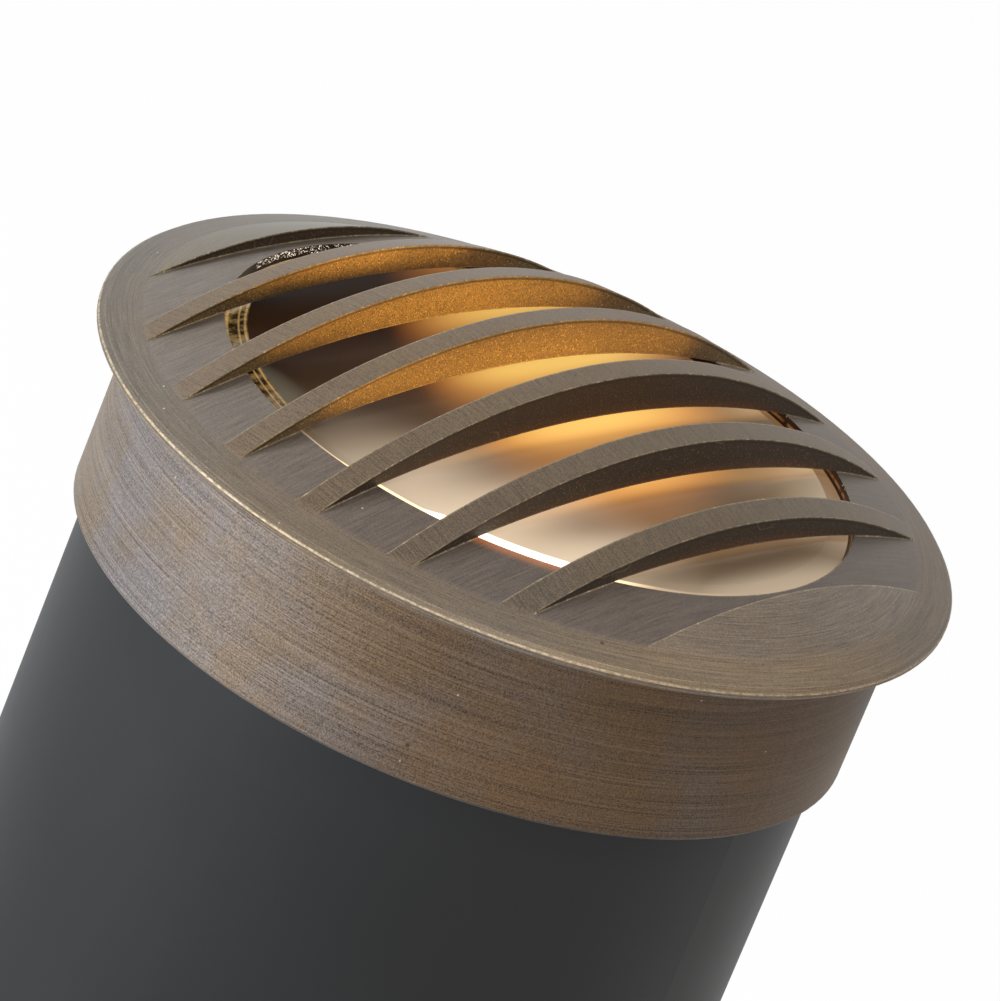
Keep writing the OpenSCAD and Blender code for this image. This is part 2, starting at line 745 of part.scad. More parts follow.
louvre_cap();
lens_gasket();
glass_lens();
lens_cushion();
lens_ring();
lens_screws();
rim_gasket();
cap_oring();
sleeve();
lamp_hanger();
swivel_ring();
drag_washer();
swivel_circlip();
gimbal_ring();
tilt_screws();
tilt_washers();
lamp_clip();
lamp_heatsink();
lamp_optic();
led_board();
led_chip();
lamp_base();
lamp_pins();
lampholder();
lamp_leads();
wire_connectors();
bulkhead();
gland_body();
gland_washer();
gland_locknut();
gland_seal();
gland_nut();
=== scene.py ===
# In-ground well light: a domed brass louvre cap over a frosted lens, on a plain plastic sleeve.
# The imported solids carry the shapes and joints. This script gives them their finishes, adds the
# small things that aren't solids, and sets up the studio and the camera. Lengths are in metres.
import json
import math
import random

import bmesh
import bpy
from mathutils import Matrix, Vector

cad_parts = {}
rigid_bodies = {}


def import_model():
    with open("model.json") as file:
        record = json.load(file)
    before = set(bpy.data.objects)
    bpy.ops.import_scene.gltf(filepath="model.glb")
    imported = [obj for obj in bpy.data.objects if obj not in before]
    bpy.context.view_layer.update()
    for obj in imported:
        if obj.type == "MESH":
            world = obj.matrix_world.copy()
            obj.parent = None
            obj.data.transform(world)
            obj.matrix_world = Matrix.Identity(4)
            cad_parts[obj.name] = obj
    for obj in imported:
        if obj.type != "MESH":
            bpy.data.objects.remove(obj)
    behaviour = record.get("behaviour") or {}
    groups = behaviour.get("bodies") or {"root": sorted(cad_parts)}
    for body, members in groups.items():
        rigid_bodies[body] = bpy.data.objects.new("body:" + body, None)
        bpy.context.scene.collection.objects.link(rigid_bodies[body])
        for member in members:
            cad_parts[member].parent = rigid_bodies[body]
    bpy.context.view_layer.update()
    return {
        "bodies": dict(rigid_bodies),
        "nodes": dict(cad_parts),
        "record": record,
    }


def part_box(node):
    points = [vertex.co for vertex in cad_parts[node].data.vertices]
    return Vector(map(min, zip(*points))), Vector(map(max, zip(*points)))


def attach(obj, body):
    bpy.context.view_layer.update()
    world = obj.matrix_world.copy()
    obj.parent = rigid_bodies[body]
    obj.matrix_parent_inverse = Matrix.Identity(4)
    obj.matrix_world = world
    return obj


MM = 0.001

# Sizes of the cap that the finishes follow
DOME_RISE = 13.45 * MM
DOME_RHO = 96.83 * MM
FLANGE_R = 51.2 * MM
COLLAR_R = 46.5 * MM
TIP_R = 46.7 * MM
SLOT_PITCH = 11.7 * MM
SLOT_W = 8.8 * MM
SLOT_COUNT = 7
GRILLE_REACH = SLOT_PITCH * (SLOT_COUNT - 1) / 2 + SLOT_W / 2
LENS_R = 37.4 * MM
OPENING_R = 37.7 * MM
BEVEL_R = LENS_R - 2.5 * MM
BORE_TOP = 4.0 * MM
WALL_HIGHLIGHT_RISE = 3.2 * MM
PLATE_RISE = 8.4 * MM
PLATE_RHO = 160.24 * MM

# The soft borders between the brass's finishes: half widths, and where each starts and ends as a depth
# under the lip or the dome, a distance in from the flange's edge or a distance out from the opening
TIP_BLEND = 0.8 * MM
SLOT_BLEND = 0.05 * MM
GRILLE_BLEND = 0.1 * MM
BAND_BLEND = 0.5 * MM
MIDDLE_BLEND = 1 * MM
SIDE_DEPTH = (1 * MM, 0)
COLLAR_DEPTH = (0.8 * MM, 1.6 * MM)
HEM_DEPTH = (15 * MM, 5 * MM)
SEAM_DEPTH = (0.08 * MM, 0.16 * MM)
SEAM_END = (0.42 * MM, 0.3 * MM)
RIM_DEPTH = (0.36 * MM, 0.28 * MM)
RIM_IN = (0.2 * MM, 0.12 * MM)
LIP_IN = (1.5 * MM, 1 * MM)
BORE_OUT = (0.3 * MM, 0.1 * MM)
BORE_FADE = 0.2 * MM
WALL_HIGHLIGHT_W = (0.26 * MM, 0.08 * MM)
WALL_HIGHLIGHT_START = (0, 4 * MM)
WALL_BLEND = 6 * MM
FAR_WALL = 0.2 * MM
SPILL_OUT = (1.6 * MM, 0)
# The painted light at the foot of the shaded sides: height over the plate's dome, and distance from the
# axis
FOOT_RISE = (1.8 * MM, -0.6 * MM)
FOOT_R = (OPENING_R + 1 * MM, 30 * MM)
# Where the tints and the painted light and shade change along x or y
FIN_END_Y = (-20 * MM, -34 * MM)
FIN_X = (-5 * MM, 25 * MM)
FLOOR_X = (-20 * MM, 20 * MM)
CRESCENT_X = (0, -20 * MM)
# Which way the faces of each finish point: a share of the normal, where it starts and ends
SIDEWAYS = (0.6, 0.9)
UPWARD = (0.5, 0.7)
BAND_UPWARD = (0.3, 0.6)
BORE_UPWARD = (0.5, 0.3)

# Grain on the brass: grains for each metre and contrast
GRAIN = (5200.0, 2.6)
CAST_GRAIN = (4800.0, 2.4)
# Marks turned round the axis: length, spacing and contrast
FINE_MARKS = (5 * MM, 0.17 * MM, 2.6)
COARSE_MARKS = (45 * MM, 0.22 * MM, 2.4)
THIN_MARKS = (26 * MM, 0.13 * MM, 2.4)
# Straight marks: lengths along x and y, and contrast
FLOOR_MARKS = (0.24 * MM, 5 * MM, 2.4)
FIN_MARKS = (3 * MM, 0.14 * MM, 2.6)
# The noise of all marks, and the height over which straight marks change
MARK_NOISE = (1.0, 3.0, 0.65)
MARK_H = 4 * MM
# The shares of coarse marks, and of grain on the rim, collar, slot floors and fin tops
COARSE_SHARE = 0.3
RIM_GRAIN = 0.5
COLLAR_GRAIN = 0.52
FLOOR_GRAIN = 0.45
FIN_GRAIN = 0.5
# How strongly the marks show on the collar, fin tops, slot floors, fin sides and elsewhere
COLLAR_CONTRAST = 1.0
FIN_CONTRAST = 0.8
FLOOR_CONTRAST = 0.55
SIDE_CONTRAST = 0.75
OTHER_CONTRAST = 0.9

# Noises in the finishes: grains for each metre, octaves, roughness, where their places start and end
CLOUDS = (55.0, 4.0, 0.6, 0.35, 0.65)
GLINTS = (5600.0, 1.0, 0.5, 0.64, 0.72)
WALL_HIGHLIGHT_GAPS = (700.0, 2.0, 0.6, 0.3, 0.55)
SCRATCHED = (70.0, 1.0, 0.5, 0.58, 0.62)
CHIPS = (900.0, 3.0, 0.7, 0.42, 0.58)
SPARKLES = (2200.0, 2.0, 0.6, 0.58, 0.66)
RIM_GAPS = (1800.0, 3.0, 0.7, 0.42, 0.56)
MOTTLE = (900.0, 3.0, 0.7, 0.4, 0.62)
# Round dots: cells for each metre, a dot's edge and heart in its cell, and which cells have one
SPECKS = (320.0, 0.045, 0.03, 0.66, 0.7)
PITS = (240.0, 0.08, 0.04, 0.84, 0.88)
# Curved scratches follow the middle of a noise. Worn edges are as wide as their rounding
SCRATCH_CURLS = (120.0, 1.0, 0.5)
SCRATCH_W = (0.005, 0.002)
EDGE_R = 0.34 * MM
EDGE_FACING = (0.985, 0.88)

# How the patina's tone changes over the cap, and the light and shade painted round it by side: azimuth,
# where it starts and ends, level of each channel
COLLAR_TONE = (0.9, 0.87, 0.83)
COLLAR_SIDE_LIGHT = [(5, -0.3, 0.6, (0.89, 0.84, 0.8)), (85, 0.2, 0.9, (0.8, 0.8, 0.8)),
                (-60, 0.4, 1.0, (1.38, 1.66, 2.14))]
BAND_SIDE_LIGHT = [(100, 0.5, 1.0, (0.84, 0.84, 0.84)), (-90, 0.3, 1.0, (0.8, 0.85, 0.92)),
              (42, 0.8, 1.0, (1.28, 1.2, 1.06))]
FIN_END_TONE = (0.86, 0.87, 0.96)

# How much of what is under it each layer of the patina, and of the light and shade painted on it, covers
COVER = {"band": 0.8, "floor": 0.85, "fin_top": 0.9, "crescent": 0.7, "crescent_far": 1.0, "side": 0.92,
         "seam": 0.7, "speck": 0.8, "scratch": 0.35, "sparkle": 0.8, "pit": 0.7}
# Covers that differ from place to place, with the noise that is rubbed, the painted shade on the far wall's
# sides, and the side where the rim's painted highlight is strongest
RUBBED = (0.65, 0.9)
RUBBED_COVER = (0.08, 0.26)
GLINT_COVER = (0.8, 0.3)
FAR_WALL_SHADE = 0.9
CHIP_FILL = 0.35
WORN_COVER = (0.62, 1.0)
RIM_FILL = 0.35
RIM_HIGHLIGHT_SIDE = (-50, -0.5, 0.8)
RIM_COVER = (0.25, 0.62)
# How deep pits are beside the marks, and how rough the brass is
PIT_DEPTH = 2.0
BRASS_ROUGH = 0.5
SIDE_ROUGH = 0.62
MARKS_ROUGH = 0.15
BRASS_METAL = 0.4
BRASS_SHEEN = 0.2
SHEEN_ROUGH = 0.35

# Grains for each metre of the finishes that have only a fine grain
GLASS_GRAIN = 3000.0
BOARD_GRAIN = 1500.0
TORN_GRAIN = 3000.0
SOCKET_GRAIN = 4000.0
PAPER_NOISE = (900.0, 2.0, 0.5)
# How far each finish's bumps stand out at most, and how strongly
BUMP = {"brass": (0.012 * MM, 0.6), "glass": (0.01 * MM, 0.3), "steel": (0.01 * MM, 0.4),
        "optic": (0.5 * MM, 0.8), "board": (0.01 * MM, 0.4), "ceramic": (0.03 * MM, 0.5),
        "torn": (0.02 * MM, 0.5)}

# Moulded pieces: clouds of gloss, how much paler they and the edges are, and how far the gloss varies
GLOSS_NOISE = (45.0, 4.0, 0.6)
GLOSS_CLOUDS = (0.35, 0.7)
GLOSS_SWING = 0.12
PALER = 1.5
PALER_BY = 0.01
MOULDED_EDGE = 0.25
MOULDED_BUMP = 0.5

# Steel and aluminium: turned brush marks, clouds, and bright edges
BRUSH_NOISE = (1.0, 4.0, 0.7)
BRUSH_ROUND = 8.0
BRUSH_LINES = 4000.0
STEEL_NOISE = (80.0, 3.0, 0.6)
STEEL_CLOUD = 0.4
STEEL_MARKS = (0.4, 1.0)
STEEL_DARK = 0.78
STEEL_SWING = 0.2
STEEL_EDGE_R = 0.15 * MM
STEEL_EDGE = 0.5

# The lamp's lens, emitter and board, and the ceramic: cells and grains for each metre, and their places
FACETS = 420.0
FACET_SPREAD = 0.25
FACET_GLOW = (0.75, 0.1)
FACET_LEVEL = 0.8
OPTIC_IOR = 1.49
DIES = 900.0
DIE_EDGE = (0.3, 0.5)
CHIP_LEVEL = 6.0
TRACKS = 2600.0
TRACK_EDGE = (0.6, 0.8)
TRACK_SHARE = 0.3
CERAMIC_NOISE = (120.0, 4.0, 0.6)
CERAMIC_SPECKS = (2400.0, 2.0, 0.5)
CERAMIC_SPECK = (0.66, 0.74)
CERAMIC_SPECK_SHARE = 0.5
CERAMIC_EDGE_R = 0.3 * MM

# Flakes of torn brass on the opening's edge
BURR_SEED = 7
BURR_COUNT = 760
BURR_CROWDED = 0.86
BURR_FAR = (166, 197)
BURR_SIZE = (0.05 * MM, 0.17 * MM)
BURR_DROP = 0.9 * MM
BURR_DROP_POWER = 1.5
# Shares of a flake's size: how low it hangs, how far out its root lies, and where its corners are
BURR_HANG = 0.3
BURR_OUT = 0.2
BURR_LEAN = (0.6, 1.6)
BURR_RISE = (0.2, 0.9)
BURR_SIDE = (0.3, 0.7)
BURR_FOOT = 0.5
BURR_FOOT_IN = 0.4
BURR_TIP = (-0.5, 0.5)
# Its bright places, where its painted glints glow, and how brightly they glow
TORN_BRIGHT = (0.46, 0.54)
TORN_GLINT_SPOTS = (0.48, 0.56)
BURR_GLINT_LEVEL = 0.9

# Dark crosses just proud of the lens ring's screw heads, painted shade that stands in for their cross
# sockets
SCREW_COUNT = 3
SCREW_HEAD_R = 1.65 * MM
CROSS_L = 1.9 * MM
CROSS_W = 0.42 * MM
CROSS_PROUD = 0.02 * MM

# The photograph's camera, solved from its outlines: focal length and image centre in pixels
PHOTO_W = 1000
PHOTO_H = 1001
FOCAL_PX = 9355
SENSOR = 36
VIEW_AZIMUTH = math.radians(32.4)
VIEW_ELEVATION = math.radians(23.7)
VIEW_ROLL = math.radians(22.22)
VIEW_DISTANCE = 1052.2 * MM
LIP_SHIFT_X_PX = 28.94
LIP_SHIFT_Y_PX = 54.48

# The lamp's light, and the levels of the light and shade painted on the glass
AMBER = (1.0, 0.6, 0.16)
BLACK = (0, 0, 0, 1)
LENS_AMBER = 0.84
LENS_CREAM = 0.5
LENS_GOLD = 0.24
LENS_DEEP = 0.015
GOLD_PHASE = 0.22
GOLD_BEND = 0.2
SHADE_PHASE = 0.16
SHADE_ON_LIGHT = 0.62
SHADE_ON_TINT = 0.66
SHADE_FAR_RIGHT = 0.2
# Patches of painted light on the glass: centre in x and y, reach in x and y, slant
AMBER_PATCH = (-8 * MM, 9 * MM, 34 * MM, 26.5 * MM, 0.5)
CREAM_PATCH = (25 * MM, -30 * MM, 34 * MM, 28 * MM, 0)
GREY_GLOW_PATCH = (-14 * MM, -34 * MM, 9 * MM, 6.5 * MM, 0)
# The far rim's direction from the axis, and how bright the far and right rims are
FAR_X = 0.5
FAR_Y = 0.87
FAR_RIM = 0.5
RIGHT_RIM = 0.55
FAR_FACING = (0.75, 0.95)
FAR_RIM_R = (27 * MM, 36 * MM)
RIGHT_RIM_X = (31 * MM, 35.5 * MM)
# Where the glass's other places start and end, along x, y and the radius
CLEAR_X = (-2 * MM, -14 * MM)
NEAR_Y = (-34 * MM, -12 * MM)
PALE_X = (8 * MM, 16 * MM)
PALE_Y = (10 * MM, 26 * MM)
GOLD_BEND_R = (10 * MM, 36 * MM)
GOLD_WAVE = (0.1, 1.0)
GOLD_START_X = (-1 * MM, 6 * MM)
GOLD_END_X = (36 * MM, 20 * MM)
DEEP_X = (-36 * MM, -16 * MM)
BASE_X = (-22 * MM, 24 * MM)
SHADE_X = (6 * MM, 18 * MM)
THROUGH_X = (-22 * MM, -8 * MM)
FAR_BEVEL_X = (31 * MM, 28 * MM)
FAR_BEVEL_Y = (4 * MM, 12 * MM)
FAR_BEVEL_LIGHT = 0.75
FAR_BEVEL_TINT = 0.6
BEVEL_BLEND = 0.05 * MM
# How much light goes through the glass at its left, at its right and in the clear bevel
THROUGH_LEFT = 0.05
THROUGH_RIGHT = 0.25
THROUGH_CLEAR = 0.8
FROSTED_ROUGH = 0.42
CLEAR_ROUGH = 0.1
GLASS_IOR = 1.4
GLASS_GLOSS = 0.03
# The bevel's bright arc: its direction from the axis, and the light that spills from it
ARC_X = 0.59
ARC_Y = -0.81
ARC_FACING = (0.64, 0.93)
ARC_END_R = BEVEL_R + 1.1 * MM
ARC_THIN_R = BEVEL_R + 0.75 * MM
ARC_THIN = (0.8, 0.92)
ARC_FULL = (0.955, 0.985)
ARC_WHITE = (0.955, 0.98)
ARC_BLEND = (0, 0.15 * MM)
ARC_FADE_X = (29 * MM, 33 * MM)
ARC_FADE = 0.25
ARC_LEVEL = 1.8
SPILL_FACING = (0.972, 0.992)
SPILL_LEVEL = 0.4
FOOT_LEVEL = 0.05
# The bevel's bright lines: radius and half width
BEVEL_LINES = [(35.15 * MM, 0.2 * MM), (35.85 * MM, 0.16 * MM), (37.15 * MM, 0.3 * MM)]
LINE_LEVEL = 0.62
LINE_HEART = 0.4
LINE_FILL = 0.6
MOTTLE_LEVEL = 0.42
# Each slot's light: slot, side it leans to, ends along the slot in mm, spread, power for each metre
GLOWS = [(-2, -1, -27, -19, 60, 0.05), (-1, -1, -33, -23, 66, 0.03), (0, -1, -35, -26, 70, 0.03),
         (-2, -1, -26, 2, 50, 0.045), (-2, -1, -26, 16, 50, 0.035), (-1, -1, -31, 10, 66, 0.034),
         (-1, -1, -31, 27, 66, 0.034), (0, -1, -33, 12, 70, 0.041), (0, -1, -33, 31, 70, 0.041),
         (0, 1, -33, 28, 70, 0.03), (1, 1, -31, 22, 66, 0.03), (2, 1, -26, 8, 50, 0.03)]
GLOW_LEAN = math.radians(52)
GLOW_W = 1.2 * MM
GLOW_RISE = 0.5 * MM

# The studio: soft boxes as azimuth, elevation, distance, width, power and tint
BOX_H = 0.25
BOXES = {"key_box": (-122, 42, 1.3, 0.9, 3.6, (0.95, 0.97, 1.0)),
         "front_box": (-60, 7, 1.4, 0.8, 18, (0.82, 0.91, 1.0)),
         "right_box": (118, 10, 1.5, 0.6, 0.5, (1, 1, 1)),
         "top_box": (30, 64, 1.3, 0.7, 5.6, (1.0, 0.94, 0.84))}
WORLD_SEEN = 1.0
WORLD_FILL = 0.18
FLOOR_HALF = 6.0
FLOOR_GLOW = 1.05
FLOOR_SEEN = 0.91
FLOOR_SENT = 0.2

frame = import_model()
NODES = frame["nodes"]
Z_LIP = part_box("louvre_cap")[1].z - DOME_RISE
Z_LENS_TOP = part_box("glass_lens")[1].z


class Tree:
    """A material's node tree, with one short call for each node."""

    def __init__(self, name):
        self.material = bpy.data.materials.new(name)
        self.material.use_nodes = True
        self.nodes = self.material.node_tree.nodes
        self.links = self.material.node_tree.links
        self.nodes.clear()
        self.output = self.nodes.new("ShaderNodeOutputMaterial")
        place = self.node("ShaderNodeTexCoord").outputs
        self.point = place["Object"]
        self.normal = place["Normal"]

    def put(self, socket, value):
        if isinstance(value, bpy.types.NodeSocket):
            self.links.new(value, socket)
        elif value is not None:
            socket.default_value = value

    def node(self, kind, inputs=(), **settings):
        made = self.nodes.new(kind)
        for name, value in settings.items():
            setattr(made, name, value)
        for name, value in dict(inputs).items():
            self.put(made.inputs[name], value)
        return made

    def math(self, operation, a, b=None, clamp=False):
        made = self.node("ShaderNodeMath", operation=operation, use_clamp=clamp)
        for socket, value in zip(made.inputs, (a, b)):
            self.put(socket, value)
        return made.outputs[0]

    def fold(self, operation, values, clamp=False):
        """One operation taken along a list of values, from the left."""
        total = values[0]
        for value in values[1:]:
            total = self.math(operation, total, value, clamp=clamp)
        return total

    def plus(self, *values, clamp=False):
        return self.fold("ADD", values, clamp)

    def times(self, *values):
        return self.fold("MULTIPLY", values)

    def most(self, *values):
        return self.fold("MAXIMUM", values)

    def minus(self, value, taken):
        return self.math("SUBTRACT", value, taken)

    def over(self, value, divisor):
        return self.math("DIVIDE", value, divisor)

    def size(self, value):
        return self.math("ABSOLUTE", value)

    def rest(self, share):
        """What a share leaves of 1."""
        return self.math("SUBTRACT", 1.0, share)

    def ramp(self, value, low, high):
        """0 below low, 1 above high. With low over high it falls."""
        flip = low > high
        made = self.node("ShaderNodeMapRange", {
            "Value": value, "From Min": min(low, high), "From Max": max(low, high),
            "To Min": float(flip), "To Max": float(not flip)}, interpolation_type="SMOOTHSTEP")
        return made.outputs[0]

    def past(self, value, limit, blend):
        """1 over a limit and 0 under it, with a soft border of that half width."""
        return self.ramp(value, limit - blend, limit + blend)

    def under(self, value, limit, blend):
        """1 under a limit and 0 over it, with a soft border of that half width."""
        return self.ramp(value, limit + blend, limit - blend)

    def place(self):
        """The point's x, y and z, and its distance from the upright axis."""
        x, y, z = self.split(self.point)
        return x, y, z, self.math("SQRT", self.plus(self.times(x, x), self.times(y, y)))

    def distance(self, centre_z):
        """The point's distance from a centre on the axis."""
        made = self.node("ShaderNodeVectorMath", {0: self.point, 1: (0, 0, centre_z)}, operation="DISTANCE")
        return made.outputs["Value"]

    def split(self, vector):
        return self.node("ShaderNodeSeparateXYZ", {"Vector": vector}).outputs

    def join(self, x, y, z):
        return self.node("ShaderNodeCombineXYZ", {"X": x, "Y": y, "Z": z}).outputs[0]

    def noise(self, scale, detail=2.0, rough=0.6, vector=None):
        made = self.node("ShaderNodeTexNoise", {
            "Vector": vector or self.point, "Scale": scale, "Detail": detail, "Roughness": rough})
        return made.outputs["Fac"]

    def clumps(self, scale, detail, rough, low, high):
        """1 in a noise's high places and 0 in its low ones."""
        return self.ramp(self.noise(scale, detail, rough), low, high)

    def spots(self, scale, randomness=1.0):
        made = self.node("ShaderNodeTexVoronoi", {
            "Vector": self.point, "Scale": scale, "Randomness": randomness})
        return made.outputs

    def dots(self, scale, edge, heart, low, high):
        """Round dots in some of a pattern's cells."""
        cells = self.spots(scale)
        return self.times(self.ramp(cells["Distance"], edge, heart),
                          self.ramp(self.split(cells["Color"])[0], low, high))

    def mix(self, share, a, b, blend="MIX"):
        made = self.node("ShaderNodeMix", data_type="RGBA", blend_type=blend)
        self.put(made.inputs["Factor"], share)
        self.put(made.inputs[6], a)
        self.put(made.inputs[7], b)
        return made.outputs[2]

    def add_light(self, light, share, tone):
        """The light with a share of a tone added."""
        return self.mix(1.0, light, self.mix(share, BLACK, tone), "ADD")

    def blend(self, share, a, b):
        made = self.node("ShaderNodeMix", data_type="FLOAT")
        self.put(made.inputs["Factor"], share)
        self.put(made.inputs[2], a)
        self.put(made.inputs[3], b)
        return made.outputs[0]

    def stretch(self, value, times):
        """A noise spread out round its middle, so that it has more contrast."""
        return self.plus(self.times(self.minus(value, 0.5), times), 0.5, clamp=True)

    def shade(self, tint, value, amount):
        """The tint made darker and lighter by a value from 0 to 1."""
        level = self.plus(self.times(self.minus(value, 0.5), self.times(amount, 2.0)), 1.0)
        scaled = self.node("ShaderNodeVectorMath", {0: tint, "Scale": level}, operation="SCALE")
        return scaled.outputs[0]

    def bump(self, height, distance, strength, normal=None):
        made = self.node("ShaderNodeBump", {
            "Height": height, "Distance": distance, "Strength": strength, "Normal": normal})
        return made.outputs[0]

    def edges(self, radius):
        """(rounded normal, 1 on edges and 0 on open faces)."""
        rounded = self.node("ShaderNodeBevel", {"Radius": radius}, samples=6).outputs[0]
        flat = self.node("ShaderNodeNewGeometry").outputs["Normal"]
        dot = self.node("ShaderNodeVectorMath", {0: rounded, 1: flat}, operation="DOT_PRODUCT")
        return rounded, self.ramp(dot.outputs["Value"], *EDGE_FACING)

    def principled(self, **inputs):
        names = {name.replace("_", " "): value for name, value in inputs.items()}
        made = self.node("ShaderNodeBsdfPrincipled", names)
        self.links.new(made.outputs[0], self.output.inputs["Surface"])


def colour(red, green, blue):
    """An sRGB colour, 0 to 255, as the linear colour that Blender takes."""
    linear = [c / 255 / 12.92 if c <= 10 else ((c / 255 + 0.055) / 1.055) ** 2.4
              for c in (red, green, blue)]
    return (*linear, 1.0)


# The brass's patina, with the light and shade painted on it (lit and shaded fin sides, slot floors and fin
# tops, the opening's wall and its bright line, glints, the rim's cream line and the spill), in sRGB
PATINA = {name: colour(*tone) for name, tone in {
    "grey": (132, 117, 105), "brown": (134, 109, 82), "band": (112, 99, 82),
    "floor_lit": (110, 101, 92), "floor_shaded": (92, 82, 75),
    "fin_top_lit": (109, 89, 63), "fin_top_shaded": (98, 84, 65),
    "crescent": (119, 108, 95), "crescent_far": (110, 99, 80), "rubbed": (150, 112, 74),
    "side_lit": (116, 92, 52), "side_shaded": (46, 30, 10), "seam": (40, 28, 16),
    "bore_shade_left": (48, 24, 13), "bore_shade_right": (70, 44, 24), "wall_highlight": (226, 186, 140),
    "glint": (226, 194, 130), "speck": (222, 208, 184), "scratch": (168, 146, 112),
    "worn": (196, 176, 136), "worn_lip": (240, 224, 192), "sparkle": (244, 226, 190),
    "rim": (236, 212, 176), "pit": (44, 35, 28), "spill": (226, 124, 44)}.items()}

# The glass's tints with its painted shade, and the tones of its painted light, in sRGB
GLASS = {name: colour(*tone) for name, tone in {
    "dark": (38, 21, 8), "pale": (188, 172, 148), "shade_left": (56, 38, 20), "shade_right": (80, 70, 58),
    "bevel": (112, 94, 66), "far_bevel": (112, 88, 56), "far_light": (96, 66, 34),
    "amber_edge": (255, 142, 46), "amber_heart": (255, 206, 106), "cream": (255, 234, 206),
    "gold": (255, 190, 100), "deep": (214, 120, 40), "grey_glow": (70, 72, 62),
    "bevel_line": (208, 170, 108), "arc_end": (246, 216, 170), "arc": (255, 248, 236),
    "shine": (255, 222, 186)}.items()}

# The other finishes, in sRGB
TONES = {name: colour(*tone) for name, tone in {
    "rubber": (34, 34, 34), "stainless": (206, 206, 208), "sleeve": (30, 30, 31), "carrier": (40, 40, 40),
    "washer": (226, 222, 206), "aluminium": (222, 222, 224), "silicone": (232, 226, 214),
    "connector": (24, 40, 92), "gland": (36, 36, 36), "steel_edge": (235, 235, 235),
    "optic_dark": (226, 220, 204), "optic_pale": (250, 246, 232), "optic_glow": (255, 204, 140),
    "die": (252, 214, 92), "die_gap": (226, 160, 40), "chip_glow": (255, 206, 128),
    "board": (238, 238, 232), "track": (196, 168, 110), "ceramic_dark": (228, 222, 206),
    "ceramic_pale": (242, 238, 226), "ceramic_speck": (176, 164, 140), "torn_dark": (86, 58, 36),
    "torn_bright": (255, 250, 240), "torn_glint_glow": (255, 244, 226), "socket_shade_dark": (18, 18, 18),
    "socket_shade_pale": (52, 52, 54), "paper_dark": (214, 214, 214), "paper_pale": (218, 218, 218)}.items()}


